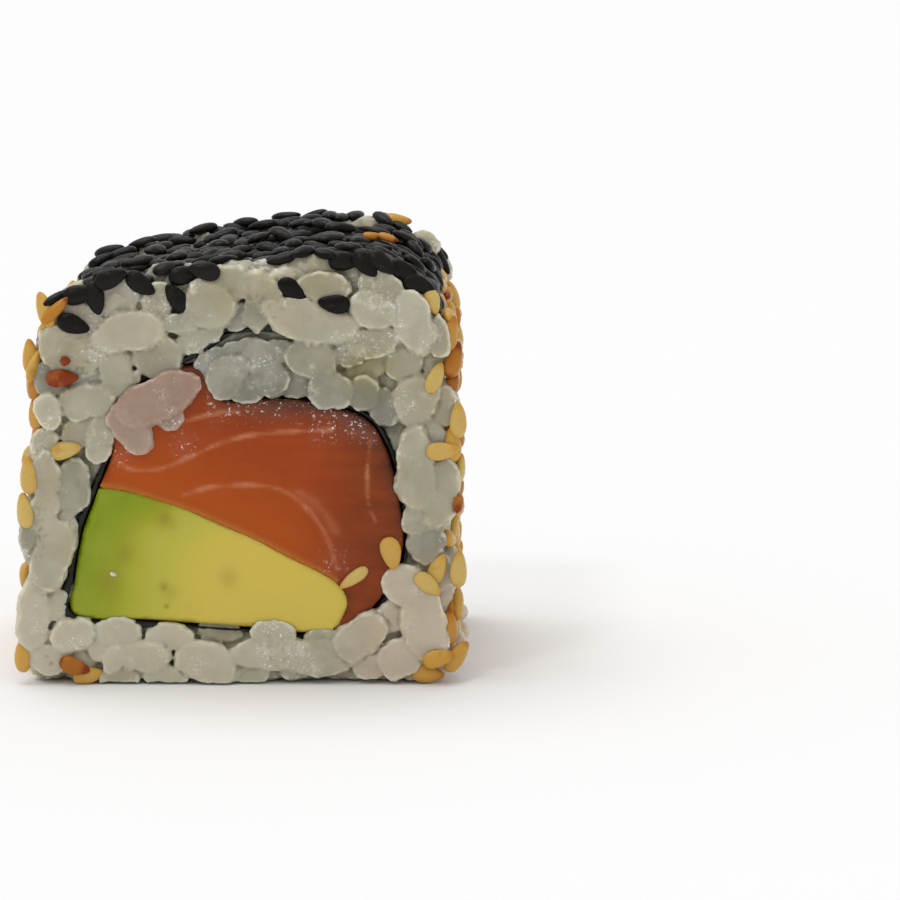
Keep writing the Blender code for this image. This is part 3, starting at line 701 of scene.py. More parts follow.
def salmon_material():
    n = Nodes("salmon")
    warm, deep, fat = n.attribute("warm"), n.attribute("deep"), n.attribute("fat")
    streaks = n.noise(420, 4, 0.6, (0.45, 1.0, 1.6))
    colour = n.mix(warm, (0.37, 0.057, 0.006), (0.455, 0.080, 0.004))
    colour = n.mix(deep, colour, (0.165, 0.036, 0.008))
    colour = n.mix(n.attribute("seam"), colour, (0.56, 0.20, 0.025))
    colour = n.mix(n.attribute("shade"), colour, (0.085, 0.028, 0.016))
    colour = n.mix(n.ramp(streaks, 0.4, 0.75, 0.0, 0.3), colour, (0.46, 0.090, 0.012))
    broken = n.ramp(n.noise(500, 3), 0.3, 0.65, 0.3, 0.75)
    colour = n.mix(n.math("MULTIPLY", fat, broken), colour, (0.62, 0.25, 0.12))
    # Painted glints of near white in fine spots where the glint mask is high; the mask also adds gloss and
    # relief.
    painted_glints = n.ramp(n.noise(2900, 3, 0.75), 0.605, 0.645)
    glint = n.math("MULTIPLY", n.attribute("glint"), painted_glints)
    colour = n.mix(n.math("MULTIPLY", glint, 0.9), colour, (0.92, 0.86, 0.8))
    n.set(Base_Color=colour, Subsurface_Weight=0.35, Subsurface_Scale=0.9 * MM)
    n.set(Subsurface_Radius=(1.0, 0.3, 0.12))
    n.set(Roughness=n.ramp(streaks, 0.3, 0.7, 0.25, 0.38), Specular_IOR_Level=0.16)
    n.set(Coat_Weight=n.math("MULTIPLY", n.attribute("glint"), 0.5), Coat_Roughness=0.08)
    height = n.math("ADD", n.math("MULTIPLY", n.noise(1100, 4, 0.6), 0.6), glint)
    n.bump(height, 0.35, 0.15 * MM)
    return n.material


def avocado_material():
    n = Nodes("avocado")
    cloud = n.noise(230, 3)
    colour = n.gradient(n.attribute("depth"), (
        (0.06, (0.245, 0.32, 0.004)), (0.17, (0.285, 0.345, 0.006)), (0.27, (0.33, 0.36, 0.009)),
        (0.37, (0.43, 0.435, 0.028)), (0.48, (0.505, 0.475, 0.052)), (0.6, (0.56, 0.505, 0.065)),
        (0.72, (0.63, 0.525, 0.074)), (0.88, (0.685, 0.53, 0.086)),
    ))
    colour = n.mix(n.ramp(cloud, 0.45, 0.7, 0.0, 0.12), colour, (0.68, 0.58, 0.14))
    colour = n.mix(n.math("MULTIPLY", n.attribute("spot"), 0.9), colour, (0.32, 0.25, 0.02))
    n.set(Base_Color=colour, Subsurface_Weight=0.4, Subsurface_Scale=1.0 * MM)
    n.set(Subsurface_Radius=(1.0, 0.8, 0.2))
    n.set(Roughness=n.ramp(cloud, 0.3, 0.7, 0.36, 0.5), Specular_IOR_Level=0.3)
    n.bump(n.noise(1300, 4, 0.6), 0.18, 0.1 * MM)
    return n.material


# Filling

# Pale lines of fat across the salmon's cut: points across and up, then half the line's width.
FAT_LINES = (
    (((-10.6, 20.2), (-9.2, 19.3), (-6.8, 19.3), (-4.0, 20.4), (-0.5, 21.9), (3.0, 22.5), (8.5, 22.8)), 0.15),
    (((-4.6, 17.0), (-1.5, 17.8), (2.5, 17.8), (4.8, 17.0), (6.6, 15.4), (8.0, 13.2), (8.9, 10.4)), 0.16),
    (((11.9, 21.8), (11.6, 19.0), (11.7, 16.4), (12.3, 14.6)), 0.12),
    (((-5.8, 22.9), (-3.0, 24.0), (0.2, 24.4)), 0.14),
    (((5.6, 17.2), (7.4, 15.9), (8.8, 13.8)), 0.4),
)
# Soft brown marks on the avocado's cut: across, up, radius and strength.
AVOCADO_SPOTS = (
    (-6.3, 14.9, 0.75, 0.8), (-5.7, 14.4, 0.5, 0.6), (-9.8, 11.6, 0.8, 0.55), (-11.4, 9.3, 0.95, 0.6),
    (-6.4, 8.8, 0.4, 1.0), (-5.9, 8.3, 0.6, 0.4), (-0.7, 9.6, 0.8, 0.45), (-6.2, 7.1, 0.16, 1.3),
    (-4.4, 7.0, 0.14, 1.3),
)


def cap_points(loop, spacing, draw):
    """Points inside a loop on a jittered triangular grid, a little away from the loop."""
    low, high = loop.min(0), loop.max(0)
    rows = np.arange(low[1], high[1], spacing * 0.87)
    points = []
    for index, z in enumerate(rows):
        x = np.arange(low[0] + spacing / 2 * (index % 2), high[0], spacing)
        points.append(np.stack([x, np.full(len(x), z)], axis=1))
    points = np.vstack(points)
    points += draw.uniform(-0.15, 0.15, points.shape) * spacing
    points = points[within(points, loop)]
    return points[distances(points, loop) > spacing * 0.55]


def slab(loop, face, spacing, rounding, relief, draw):
    """A slab with this section from the front cut to the back cut, its cut edges rounded.

    rounding(points) gives the edge's radius at each point, and relief(points, side) how far it stands
    proud.
    """
    count = len(loop)
    inner = cap_points(loop, spacing, draw)
    flat = np.vstack([loop, inner])
    ring = [(k, (k + 1) % count) for k in range(count)]
    made = delaunay_2d_cdt([Vector(p) for p in flat], ring, [], 1, 1e-5)
    verts = np.array([tuple(v) for v in made[0]])
    order = {}
    for index, origins in enumerate(made[3]):
        for origin in origins:
            if origin < count:
                order[origin] = index
    triangles = [tuple(f) for f in made[2]]
    inward, radius = distances(verts, loop), rounding(verts)
    rounded = radius * (1 - np.sqrt(np.maximum(0, 1 - (1 - np.minimum(inward / radius, 1)) ** 2)))
    points, faces, side_of = [], [], []
    for side in (-1, 1):
        start = sum(len(p) for p in points)
        y = side * (face - rounded + relief(verts, side))
        points.append(np.stack([verts[:, 0], y, verts[:, 1]], axis=1))
        side_of.append(np.full(len(verts), side))
        for a, b, c in triangles:
            faces.append((start + a, start + b, start + c) if side < 0 else (start + c, start + b, start + a))
    rows = np.linspace(-1, 1, 9)[1:-1] * (face - radius.max())
    front_rim = [order[k] for k in range(count)]
    back_rim = [len(verts) + k for k in front_rim]
    rim = verts[front_rim]
    first = 2 * len(verts)
    for y in rows:
        points.append(np.stack([rim[:, 0], np.full(count, y), rim[:, 1]], axis=1))
        side_of.append(np.zeros(count))
    rings = [front_rim, *[[first + r * count + k for k in range(count)] for r in range(len(rows))], back_rim]
    for low, high in zip(rings, rings[1:]):
        for k in range(count):
            after = (k + 1) % count
            faces.append((low[after], low[k], high[k], high[after]))
    return np.vstack(points), faces, np.concatenate(side_of)


def wedge_line(grow):
    wedge = even_points(AVOCADO_SHAPE[:-2], 0.4, False)
    return offset(wedge, -grow, False)


def split_filling():
    """The sections of the salmon and of the avocado, parted along the wedge's line."""
    loop = filling_outline(0.0, 0.35)

    def cut(line, keep_inside):
        wedge = np.vstack([line, np.array(AVOCADO_SHAPE[-2:])])[::-1]
        inside = within(loop, wedge)
        if not keep_inside:
            inside = ~inside
        starts = [k for k in range(len(loop)) if inside[k] and not inside[k - 1]]
        rolled = np.roll(loop, -starts[0], axis=0)
        run = rolled[: int(inside.sum())]
        middle = line[within(line, loop)]
        middle = middle[distances(middle, loop) > 0.2]
        if np.linalg.norm(run[-1] - middle[0]) > np.linalg.norm(run[-1] - middle[-1]):
            middle = middle[::-1]
        return np.vstack([run, middle])

    return cut(wedge_line(SEAM), False), cut(wedge_line(0.0), True)


def edge_radius(points):
    """The radius of a filling's cut edge: small along the seam between salmon and avocado."""
    return 0.02 + 0.33 * smooth_step(distances(points, wedge_line(0.0), False), 0.1, 1.6)


def bell(distance, width):
    return np.exp(-((distance / width) ** 2))


def fat_at(points):
    total = np.zeros(len(points))
    for line, width in FAT_LINES:
        path = even_points(line, 0.5, False)
        wander = 0.25 * np.sin(points[:, 0] * 1.7) * np.sin(points[:, 1] * 1.3)
        near = bell(distances(points, path, False) + wander * 0.4, width)
        total = np.maximum(total, near * min(1, 0.16 / width))
    return total


def glints_at(x, z):
    """Where the salmon has wet gloss and painted glints: under its top edge and round the grains on its high
    corner.
    """
    below_top = bell(np.maximum(25.0 - z - 0.09 * np.abs(x - 3.0), 0), 1.1) * (x > -2.5) * 0.9
    corner = bell(22.6 - z, 0.8) * (x > 6.5) * (x < 13.5)
    left = np.maximum(bell(np.hypot(x + 4.6, z - 21.6), 1.0), bell(np.hypot(x + 9.9, z - 20.6), 1.0))
    seam = bell(np.hypot(x - 8.6, z - 10.9), 1.2) * 0.7
    return np.clip(below_top + corner + left + seam, 0, 1)


def add_salmon(section, draw):
    def relief(points, side):
        swell = 0.22 * np.minimum(distances(points, section) / 3.0, 1.0)
        waves = 0.07 * np.sin(points[:, 0] * 0.9 + points[:, 1] * 0.5 + side) * np.sin(points[:, 1] * 0.8)
        return swell + waves - 0.05 * fat_at(points)

    points, faces, side = slab(section, FACE, 0.27, edge_radius, relief, draw)
    flat = points[:, (0, 2)]
    edge = distances(flat, section)
    wedge = distances(flat, wedge_line(SLIT), False)
    on_cut = np.abs(side)
    x, z = flat[:, 0], flat[:, 1]
    right = smooth_step(x, 5.0, 13.0)
    top = 0.35 + 0.5 * smooth_step(x, -5.0, 3.0)
    attributes = {
        "fat": fat_at(flat) * on_cut,
        "warm": np.clip(1.3 - wedge / 5.0, 0, 1) * np.clip((10.0 - x) / 6.0, 0, 1),
        "deep": np.clip(
            bell(np.maximum(25.6 - z, 0), 2.4) * top + right * 0.75 + bell(edge, 0.6) * 0.45, 0, 1
        ),
        "glint": glints_at(x, z) * on_cut,
        "seam": 0.7 * bell(wedge, 0.35) * (x < 9.0),
        "shade": np.maximum(
            0.75 * bell(edge, 1.1) * smooth_step(z, 14.0, 21.0) * smooth_step(x, -1.0, 4.0),
            0.65 * bell(np.hypot(x + 3.6, z - 28.0), 1.5),
        ),
    }
    piece = add_piece("salmon_slab", drift(points), faces, attributes, salmon_material())
    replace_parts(piece, "salmon")


def add_avocado(section, draw):
    def relief(points, side):
        swell = 0.3 * np.minimum(distances(points, section) / 3.5, 1.0)
        return swell + 0.05 * np.sin(points[:, 0] * 0.6 + side) * np.sin(points[:, 1] * 0.9)

    points, faces, side = slab(section, FACE, 0.4, lambda points: 1.6 * edge_radius(points), relief, draw)
    flat = points[:, (0, 2)]
    x, z = flat[:, 0], flat[:, 1]
    left = filling_outline(0.0)
    skin = distances(flat, left[(left[:, 0] < -10.5) & (left[:, 1] > 8.5)], False)
    seam = distances(flat, wedge_line(0.0), False)
    spots = np.zeros(len(flat))
    for sx, sz, radius, strength in AVOCADO_SPOTS:
        spots = np.maximum(spots, bell(np.hypot(x - sx, (z - sz) * 0.9), radius) * strength)
    attributes = {
        "depth": np.clip((skin - 1.6 * bell(seam, 2.0)) / 14.0, 0, 1),
        "spot": spots * np.abs(side),
    }
    piece = add_piece("avocado_wedge", drift(points), faces, attributes, avocado_material())
    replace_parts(piece, "avocado")


def nori_band(path, grow, draw=None):
    """The seaweed's section along its path, thicker on the left, and uneven if it is given a draw."""
    at, thickness, _ = np.array(NORI_EDGE).T
    thick = np.interp(np.linspace(0, 1, len(path)), at, thickness)
    if draw:
        thick = thick * draw.uniform(0.65, 1.35, len(path))
    inner = np.minimum(thick / 2, 0.24)
    normal = normals_of(path, False)
    outer_side = path + normal * (thick - inner + grow)[:, None]
    return np.vstack([outer_side, (path - normal * (inner + grow)[:, None])[::-1]])


def add_nori(draw):
    """The seaweed as a strip with a torn, uneven cut edge."""
    path = nori_path()
    count = len(path)
    at, _, recess = np.array(NORI_EDGE).T
    deep = np.interp(np.linspace(0, 1, count), at, recess)
    edges = [np.clip(deep + draw.normal(0, 0.13, count), 0.0, 2.0) for _ in range(2)]
    rows = [-FACE + edges[0], -FACE + edges[0] + 0.4, -FACE + 3.0 + 0 * deep]
    rows += [y + 0 * deep for y in np.linspace(-12, 12, 6)]
    rows += [FACE - 3.0 + 0 * deep, FACE - edges[1] - 0.4, FACE - edges[1]]
    points, faces = [], []
    for row, y in enumerate(rows):
        loop = nori_band(path, -0.04 if row in (0, len(rows) - 1) else 0.0, draw)
        points.append(np.stack([loop[:, 0], np.concatenate([y, y[::-1]]), loop[:, 1]], axis=1))
    size = 2 * count
    for row in range(len(rows) - 1):
        for k in range(size):
            after = (k + 1) % size
            faces.append((row * size + k, (row + 1) * size + k, (row + 1) * size + after, row * size + after))
    last = (len(rows) - 1) * size
    for k in range(count - 1):
        faces.append((k, k + 1, size - 2 - k, size - 1 - k))
        faces.append((last + k, last + size - 1 - k, last + size - 2 - k, last + k + 1))
    piece = add_piece("nori_sheet", drift(np.vstack(points)), faces, {}, nori_material())
    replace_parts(piece, "nori")


# Rice and seeds


def prism(name, loop, front, back):
    count = len(loop)
    points = [(x, front, z) for x, z in loop] + [(x, back, z) for x, z in loop]
    faces = [tuple(range(count)), tuple(range(2 * count - 1, count - 1, -1))]
    faces += [((k + 1) % count, k, count + k, count + (k + 1) % count) for k in range(count)]
    return mesh_object(name, points, faces)


def packed_rice(front, back):
    """The rice behind the grains, from one depth to another, with room for the filling and the seaweed."""
    outer = outer_outline(1.9, 1.0)
    outer[:, 1] = np.maximum(outer[:, 1], 0.9)
    core = prism("core", outer, front, back)
    for loop in (filling_outline(SLIT + 0.1, 0.8), nori_band(nori_path(0.8), 0.08)):
        cutter = prism("cutter", loop, front - 3, back + 3)
        modifier = core.modifiers.new("cut", "BOOLEAN")
        modifier.operation = "DIFFERENCE"
        modifier.solver = "EXACT"
        modifier.object = cutter
        apply_modifiers(core)
        bpy.data.objects.remove(cutter, do_unlink=True)
    points = read_vectors(core.data.vertices, "co")
    faces = [tuple(polygon.vertices) for polygon in core.data.polygons]
    bpy.data.objects.remove(core, do_unlink=True)
    return points, faces


def fill_face(draw, placed, count, apart, tries=3000):
    """More grains on a cut face, where the ones placed so far leave room and clear of the filling."""
    filling, path = filling_outline(SLIT, 0.8), nori_path(0.8)
    outline = outer_outline(0.6, 1.0)
    low, high = outline.min(0), outline.max(0)
    points = draw.uniform(low, high, (tries, 2))
    turns = np.arctan2(points[:, 0], -(points[:, 1] - HEIGHT / 2)) + draw.normal(0, 0.6, tries)
    lengths = draw.choice((1.0, 0.85, 0.7, 0.55), tries, p=(0.4, 0.25, 0.2, 0.15)) * GRAIN[0]
    widths = GRAIN[1] * draw.uniform(0.8, 1.05, tries)
    reach = np.maximum(0, (lengths - widths) / 2)
    ways = np.stack([np.cos(turns), np.sin(turns)], axis=1)
    steps = np.linspace(-1, 1, 5)
    lines = points[:, None] + ways[:, None] * (reach[:, None] * steps)[..., None]
    flat = lines.reshape(-1, 2)
    off_filling = distances(flat, filling).reshape(tries, 5).min(1)
    off_nori = distances(flat, path, False).reshape(tries, 5).min(1) - NORI_THICK / 2
    good = within(flat, outline).reshape(tries, 5).all(1) & ~within(flat, filling).reshape(tries, 5).any(1)
    good &= np.minimum(off_filling, off_nori) > widths * 0.4
    kept, made = list(placed), []
    for k in np.flatnonzero(good):
        if len(made) == count:
            break
        if kept and np.linalg.norm(np.array(kept)[:, :, None] - lines[k], axis=3).min() < apart:
            continue
        kept.append(lines[k])
        made.append((*points[k], lengths[k], widths[k], math.degrees(turns[k]), draw.uniform(-0.3, 0.7)))
    return made


def true_height(z):
    """A height on the front cut from one read off a view from slightly above."""
    return z - 0.4 * max(0.0, 1 - z / 32)


def close_up(grain):
    """The grain moved up against the seaweed, where it would leave a narrow gap."""
    x, z, length, width, turn, proud = grain
    path = nori_path(0.8)
    path = path[len(path) // 7:]
    line = face_line(x, z, length, width, turn)
    gaps = np.linalg.norm(path[None] - line[:, None], axis=2)
    end, near = np.unravel_index(gaps.argmin(), gaps.shape)
    gap = gaps[end, near] - width / 2
    if not 0.15 < gap < 1.1:
        return grain
    dx, dz = (path[near] - line[end]) / gaps[end, near] * min(gap, 0.7)
    return x + dx, z + dz, length, width, turn, proud


def direction(turn):
    """The unit vector along a turn in degrees."""
    return np.array((math.cos(math.radians(turn)), math.sin(math.radians(turn))))


def face_line(x, z, length, width, turn):
    """Five points along a grain's middle line."""
    reach = max(0.0, (length - width) / 2)
    return np.array((x, z)) + direction(turn) * np.linspace(-reach, reach, 5)[:, None]


def face_tone_and_painted_light(x, z):
    """The usual tone of the rice on a cut face: painted shade over the filling's top, darker to the right,
    and painted light low down.
    """
    tongue_shade = math.exp(-(((x - 2.0) / 5.5) ** 2) - ((z - 28.6) / 2.7) ** 2)
    over = math.exp(-(((z - 26.0) / 1.5) ** 2)) * (-3 < x < 15)
    right = (x > 13.5) * math.exp(-(((z - 18.5) / 6.0) ** 2))
    tone = 0.42 - 0.75 * max(tongue_shade, over * 0.7) - 0.2 * right + 0.3 * (z < 7.0)
    for px, pz, radius, shift in TONE_PATCHES:
        tone += shift * math.exp(-(((x - px) / radius) ** 2) - ((z - pz) / radius) ** 2)
    return tone


def add_face_grains(draw, heap, grains, side, recess, rings=11, sides=14, cut_back=True):
    """Grains lying in a cut face. The knife took the fronts off those that stand proud of it."""
    for x, z, length, width, turn, proud in grains:
        thick = min(width * 0.95, GRAIN[2] * draw.uniform(0.92, 1.08))
        across, up = direction(turn)
        along = (across, draw.uniform(-0.1, 0.1), up)
        middle = FACE + 0.7 * proud - 0.28 * thick - recess
        tilt = (draw.uniform(-0.1, 0.1), side, draw.uniform(-0.1, 0.1))
        size = (length * 1.08, width * 1.16, thick)
        points = make_grain(draw, (x, side * middle, z), along, tilt, size, rings, sides, 0.1)
        points += warp(points, 0.55, 0.3, draw.uniform(0, 50)) + warp(points, 1.5, 0.16, draw.uniform(0, 50))
        if cut_back:
            lean = draw.uniform(-0.05, 0.05, 2)
            plane = FACE - 0.2 + 0.75 * proud + (points[:, (0, 2)] - (x, z)) @ lean - recess
            over = np.maximum(side * points[:, 1] - plane, 0)
            points[:, 1] -= side * over * 0.95
        points[:, 2] = np.maximum(points[:, 2], RICE_FOOT)
        # Recessed grains get a darker tone, as painted shade; grains that stand proud get a paler one.
        tone = np.clip(face_tone_and_painted_light(x, z) + 0.3 * proud - 0.1 * recess + draw.uniform(-0.25, 0.25), 0, 1)
        heap.add(points, rings, sides, tone)


def spread_on_wall(draw, loop, count, allowed, reach, tries=20, taken=()):
    """Places spread evenly over the roll's wall: (point, outward), each the best of several tries."""
    normal = normals_of(loop, True)
    candidates = np.array([k for k in range(len(loop)) if allowed(loop[k])])
    after = np.roll(np.arange(len(loop)), -1)
    placed = np.array(taken, float).reshape(-1, 3)
    result = []
    for _ in range(count):
        k = draw.choice(candidates, tries)
        mix = draw.random(tries)[:, None]
        xz = loop[k] * (1 - mix) + loop[after[k]] * mix
        y = draw.uniform(-reach, reach, tries)
        spots = np.stack([xz[:, 0], y, xz[:, 1]], axis=1)
        if len(placed):
            gaps = np.linalg.norm(spots[:, None] - placed[None], axis=2).min(1)
            best = int(gaps.argmax())
        else:
            best = 0
        placed = np.vstack([placed, spots[best]])
        result.append((spots[best], np.array((normal[k[best]][0], 0.0, normal[k[best]][1]))))
    return result


def add_wall_grains(draw, front, skin, back):
    """Grains over the roll's wall. Those by a cut face go with that face."""
    loop = outer_outline(0.25, 1.0)
    for point, outward in spread_on_wall(draw, loop, WALL_GRAINS, lambda p: True, FACE - 2.2):
        angle = draw.uniform(0, math.pi)
        around = np.cross(outward, (0.0, 1.0, 0.0))
        along = math.cos(angle) * np.array((0.0, 1.0, 0.0)) + math.sin(angle) * around
        size = np.array(GRAIN) * draw.uniform(0.82, 1.02, 3)
        centre = point - outward * (size[2] / 2 + draw.uniform(-0.35, 0.35))
        tilt = outward + draw.uniform(-0.15, 0.15, 3)
        points = make_grain(draw, centre, along, tilt, size, 8, 10)
        heap = front if point[1] < -FACE + 5 else back if point[1] > FACE - 5 else skin
        heap.add(press(points, RICE_FOOT, FACE - WALL_PRESS), 8, 10, draw.uniform(0.2, 1.0))


def tree_of(*sources):
    """A search tree over several (points, faces), for finding the outermost surface."""
    points, faces, start = [], [], 0
    for own_points, own_faces in sources:
        points.append(own_points)
        faces += [tuple(start + i for i in face) for face in own_faces]
        start += len(own_points)
    return BVHTree.FromPolygons(np.vstack(points).tolist(), faces)


def own_draws(draw, items):
    """Each item with a random draw of its own, so that one left out doesn't change the others."""
    return zip(items, [np.random.default_rng(start) for start in draw.integers(0, 2**31, len(items))])


def lay_seed(heap, points, tone, rings=11, sides=16):
    """Adds a seed, flattened where it would pass the table."""
    points[:, 2] = np.maximum(points[:, 2], 0.0)
    heap.add(points, rings, sides, seed_tones(tone, rings, sides))


def seat_seeds(draw, heap, tree, spots, tone, size=SEED, sink=0.3):
    """Lays a seed flat on the surface under each spot, except on high bumps and on the bare patches."""
    for (point, outward), own_draw in own_draws(draw, spots):
        if any(math.dist(point, patch[:3]) < patch[3] for patch in BARE_PATCHES):
            continue
        if point[2] < 1.2 and point[1] < -12.5:
            continue
        point = slump(point[None])[0]
        hit, normal, _, _ = tree.ray_cast(Vector(point + outward * 4.0), Vector(-outward), 7.0)
        if hit is None or (np.array(hit) - point) @ outward > HIGHEST_SEAT:
            continue
        facing = np.array(normal) * 0.5 + outward * 1.5
        facing /= np.linalg.norm(facing)
        own = np.array(size) * own_draw.uniform((0.88, 0.9, 0.85), (1.1, 1.08, 1.15))
        angle = own_draw.uniform(0, 2 * math.pi)
        across = np.cross(outward, (0.0, 1.0, 0.0))
        along = math.cos(angle) * np.array((0.0, 1.0, 0.0)) + math.sin(angle) * across
        centre = np.array(hit) + facing * own[2] * (0.5 - sink)
        centre[2] = max(centre[2], 0.45)
        points = make_seed(own_draw, centre, along, facing, own)
        lay_seed(heap, points, tone(own_draw), 9, 12)


def seed_tones(tone, rings, sides):
    """A seed's tone at each of its points, deeper towards its pointed end."""
    t = -np.cos(np.linspace(0, math.pi, rings + 2))
    along = tone - 0.3 * smooth_step(t, 0.35, 1.0) - 0.1 * smooth_step(-t, 0.7, 1.0)
    return np.clip(np.concatenate([along[:1], np.repeat(along[1:-1], sides), along[-1:]]), 0, 1)


def seat_front_seeds(draw, heap, tree, seeds, size=SEED, sink=0.22):
    """Lays seeds on the front cut, each facing the way the rice under it does."""
    for (x, height, turn, tone), own_draw in own_draws(draw, seeds):
        z = true_height(height)
        across, up = direction(turn)
        own = np.array(size) * own_draw.uniform(0.94, 1.03)
        way = direction(turn) * own[0] * 0.3
        side = np.array((-way[1], way[0])) * 0.6
        depths, facing = [], np.array((0.0, -3.0, 0.0))
        for dx, dz in ((0, 0), way, -way, side, -side):
            hit, normal, _, _ = tree.ray_cast(Vector((x + dx, -30.0, z + dz)), Vector((0.0, 1.0, 0.0)), 26.0)
            if hit is not None:
                depths.append(hit.y)
                facing += np.array(normal) * 0.5
        if not depths:
            continue
        facing /= np.linalg.norm(facing)
        depth = 0.6 * min(depths) + 0.4 * sum(depths) / len(depths)
        centre = np.array((x, depth, z)) + facing * own[2] * (0.5 - sink)
        lay_seed(heap, make_seed(own_draw, centre, (across, 0.0, up), facing, own, 11, 16), tone)


def seat_edge_seeds(draw, heap, tree, seeds, sink=0.2):
    """Lays seeds on the side walls, turned a little to the front."""
    for (side, z, back, turn, tone), own_draw in own_draws(draw, seeds):
        start = Vector((side * 30.0, -FACE + back, z))
        hit, _, _, _ = tree.ray_cast(start, Vector((-side, 0.0, 0.0)), 26.0)
        if hit is None:
            continue
        facing = np.array((side * 1.0, -1.1, 0.0))
        facing /= np.linalg.norm(facing)
        up, behind = direction(turn)
        own = np.array(SEED) * own_draw.uniform(1.02, 1.16)
        centre = np.array(hit) + facing * own[2] * (0.5 - sink)
        lay_seed(heap, make_seed(own_draw, centre, (0.0, behind, up), facing, own, 11, 16), tone)


def add_rice(draw):
    """The rice in three skins, front, middle and back, and the grains over the salmon's corner."""
    white = rice_material(
        "rice", (0.55, 0.51, 0.385), (0.42, 0.382, 0.252), (0.255, 0.245, 0.188), (0.72, 0.69, 0.58),
        (0.45, 0.44, 0.375),
    )
    pink = rice_material(
        "rice_pink", (0.43, 0.325, 0.25), (0.39, 0.265, 0.20), (0.39, 0.195, 0.115), (0.56, 0.43, 0.35),
        (0.39, 0.265, 0.20),
    )
    front, skin, back = Heap(), Heap(), Heap()
    grains = [close_up((x, true_height(z), *rest)) for x, z, *rest in FRONT_GRAINS]
    add_face_grains(draw, front, grains, -1, 0.0, 15, 20)
    lines = [face_line(*grain[:5]) for grain in grains]
    add_face_grains(draw, front, fill_face(draw, lines, FRONT_FILL, 1.4), -1, 0.55)
    add_face_grains(draw, front, fill_face(draw, [], BURIED_GRAINS, 1.5), -1, 1.6, 8, 10, False)
    add_face_grains(draw, back, fill_face(draw, [], BACK_GRAINS, 1.9, 6000), 1, 0.0, 11, 12)
    add_face_grains(draw, back, fill_face(draw, [], BURIED_GRAINS, 1.5), 1, 1.5, 8, 10, False)
    add_wall_grains(draw, front, skin, back)
    crumb_at = (CRUMB[0], -FACE - 0.35, CRUMB[1])
    crumb = make_grain(draw, crumb_at, (1.0, 0.0, -0.7), (0.0, -1.0, 0.0), (0.75, 0.5, 0.5))
    front.add(crumb, 11, 12, 1.0)
    front.add_solid(*packed_rice(-CORE_FACE, -CORE_FACE + 4))
    skin.add_solid(*packed_rice(-CORE_FACE + 2, CORE_FACE - 2))
    back.add_solid(*packed_rice(CORE_FACE - 4, CORE_FACE))
    surface = []
    for name, heap in (("rice_front", front), ("rice_skin", skin), ("rice_back", back)):
        points, faces, attributes = heap.melted(VOXELS[name])
        points = drift(points)
        surface.append((points, faces))
        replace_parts(add_piece(name, points, faces, attributes, white), "rice")
    over = Heap()
    add_face_grains(draw, over, PINK_GRAINS, -1, -0.35, 15, 16)
    points, faces, attributes = over.melted(VOXELS["rice_over_salmon"])
    add_piece("rice_over_salmon", drift(points), faces, attributes, pink)
    return surface


def add_black_seeds(draw, surface):
    black = Heap()
    tree = tree_of(*surface)
    walls = outer_outline(0.0, 1.0)
    taken = [(x, -FACE, z) for x, z, _, _ in BLACK_ON_FRONT]
    seat_front_seeds(draw, black, tree, BLACK_ON_FRONT, BLACK_SEED)

    def on_top(p):
        return p[1] > (BLACK_FROM_LEFT if p[0] < 0 else BLACK_FROM_RIGHT) * HEIGHT

    for count, tries, sink in BLACK_ROUNDS:
        spots = spread_on_wall(draw, walls, count, on_top, FACE - 0.6, tries, taken)
        seat_seeds(draw, black, tree, spots, lambda d: d.uniform(0, 1), BLACK_SEED, sink)
        tree = tree_of(*surface, (black.all_points(), black.faces))
    black.piece("sesame_black", "sesame_black", black_seed_material())
    return black.all_points(), black.faces


def add_toasted_seeds(draw, surface, black_seeds):
    toasted = Heap()
    top = tree_of(*surface, black_seeds)
    tree = tree_of(*surface)
    walls = outer_outline(0.0, 1.0)

    def tone(d):
        return d.uniform(0.1, 0.4) if d.random() < 0.25 else d.uniform(0.45, 1.0)

    seat_front_seeds(draw, toasted, tree, TOASTED_ON_FRONT)
    seat_front_seeds(draw, toasted, tree, [(*RED_DOT, 0, 0.0)], (0.95, 0.85, 0.7))
    seat_front_seeds(draw, toasted, tree, [SLANTED_SEED], (3.5, 1.15, 1.1))
    seat_front_seeds(draw, toasted, tree, [CORNER_SEED], (2.3, 1.3, 1.0))
    for x, y, turn, own_tone in STRAYS_ON_TOP:
        lift = 0.45 if y < 0 else 0.1
        hit, _, _, _ = top.ray_cast(Vector((x, y, 60.0)), Vector((0.0, 0.0, -1.0)), 40.0)
        behind, across = direction(turn)
        size = np.array(SEED) * (0.65 if y < 0 else 1.0)
        centre = np.array(hit) + (0.0, 0.0, lift)
        points = make_seed(draw, centre, (across, behind, -0.1), (0.2, -0.3, 1.0), size, 11, 16)
        lay_seed(toasted, points, own_tone)
    seat_edge_seeds(draw, toasted, tree, TOASTED_ON_EDGE)
    taken = [(side * WIDTH / 2, -FACE + back, z) for side, z, back, _, _ in TOASTED_ON_EDGE]
    for count, tries, low, high, margin in TOASTED_ROUNDS:
        spots = spread_on_wall(
            draw, walls, count, lambda p: low < p[1] < high * HEIGHT, FACE - margin, tries, taken
        )
        seat_seeds(draw, toasted, tree, spots, tone)
        tree = tree_of(*surface, (toasted.all_points(), toasted.faces))
    for x, z, turn, width, own_tone in SEEDS_ON_SALMON:
        across, up = direction(turn)
        centre, size = (x, -FACE - 0.45, z), (3.0, width, 1.0)
        points = make_seed(draw, centre, (across, 0.0, up), (0.1, -1.0, 0.1), size, 11, 16)
        lay_seed(toasted, points, own_tone)
    toasted.piece("sesame_toasted", "sesame_toasted", toasted_seed_material())


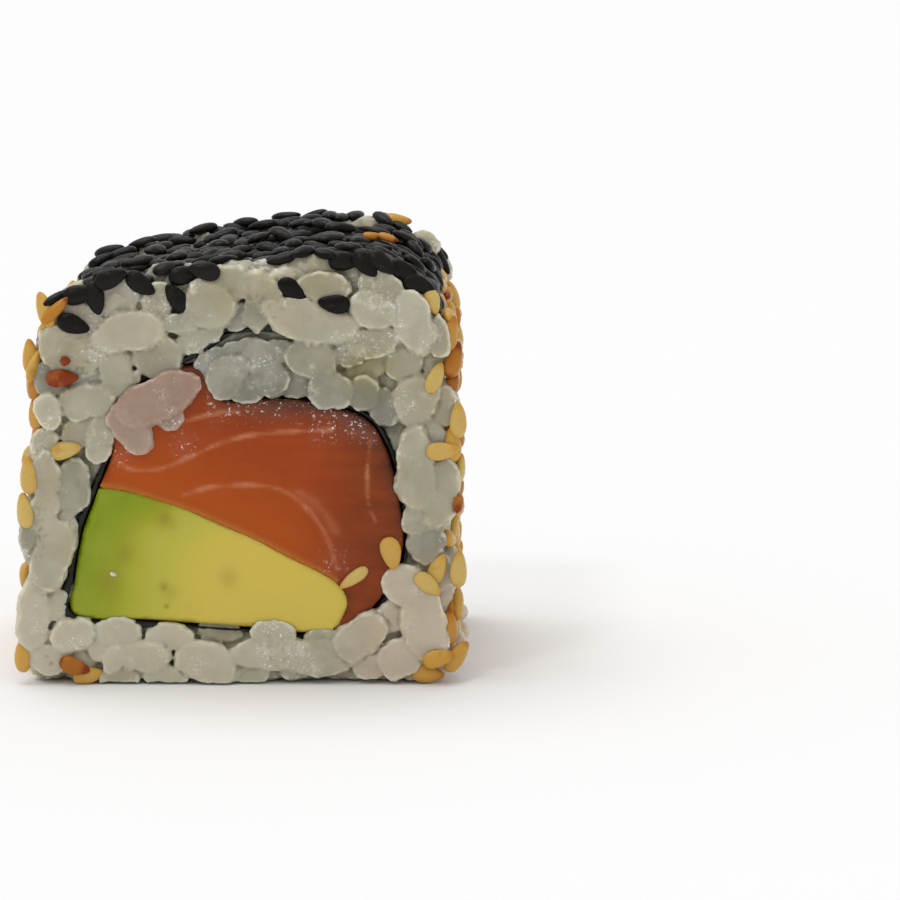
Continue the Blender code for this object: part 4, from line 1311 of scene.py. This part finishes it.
def make_roll():
    draw = np.random.default_rng(RANDOM_SEED)
    salmon_section, avocado_section = split_filling()
    add_salmon(salmon_section, draw)
    add_avocado(avocado_section, draw)
    add_nori(draw)
    surface = add_rice(draw)
    black_seeds = add_black_seeds(draw, surface)
    add_toasted_seeds(draw, surface, black_seeds)


# Stage

FLOOR_SIZE = 6.0
FLOOR_DROP = 0.0001
# Where each sun stands, its strength, and how wide it looks in degrees.
SUNS = {"overhead": ((-0.12, 0.1, 0.6), 1.35, 50.0), "lamp": ((-0.3, -0.5, 0.65), 0.3, 9.0)}
SKY_STRENGTH = 0.6
CAMERA_TARGET = (18.9, -17.0, 21.1)
CAMERA_DISTANCE = 420.0
CAMERA_ELEVATION = math.radians(9.0)
CAMERA_LENS = 191.0


def add_floor():
    n = Nodes("paper")
    n.set(Base_Color=n.mix(n.noise(3, 1), (0.915, 0.915, 0.915), (0.92, 0.92, 0.92)), Roughness=0.9)
    bpy.ops.mesh.primitive_plane_add(size=FLOOR_SIZE, location=(0, 0, -FLOOR_DROP))
    floor = bpy.context.object
    floor.name = "floor"
    floor.data.materials.append(n.material)


def aim(obj, target):
    obj.rotation_euler = (Vector(target) - obj.location).to_track_quat("-Z", "Y").to_euler()


def add_sun(name, place, energy, softness):
    light = bpy.data.lights.new(name, "SUN")
    light.energy = energy
    light.angle = math.radians(softness)
    obj = bpy.data.objects.new(name, light)
    bpy.context.scene.collection.objects.link(obj)
    obj.location = place
    aim(obj, (0, 0, 0))


def add_stage():
    add_floor()
    world = bpy.data.worlds.new("studio")
    bpy.context.scene.world = world
    world.use_nodes = True
    background = world.node_tree.nodes["Background"]
    background.inputs["Color"].default_value = (1.0, 1.0, 1.0, 1.0)
    background.inputs["Strength"].default_value = SKY_STRENGTH
    for name, settings in SUNS.items():
        add_sun(name, *settings)
    bpy.context.scene.view_settings.view_transform = "Standard"


def add_camera():
    camera = bpy.data.objects.new("camera", bpy.data.cameras.new("camera"))
    bpy.context.scene.collection.objects.link(camera)
    target = np.array(CAMERA_TARGET)
    backwards = np.array((0.0, -math.cos(CAMERA_ELEVATION), math.sin(CAMERA_ELEVATION)))
    place = target + CAMERA_DISTANCE * backwards
    camera.location = place * MM
    aim(camera, target * MM)
    camera.data.lens = CAMERA_LENS
    camera.data.sensor_width = 36.0
    camera.data.clip_start = 0.01
    bpy.context.scene.camera = camera


make_roll()
add_stage()
add_camera()
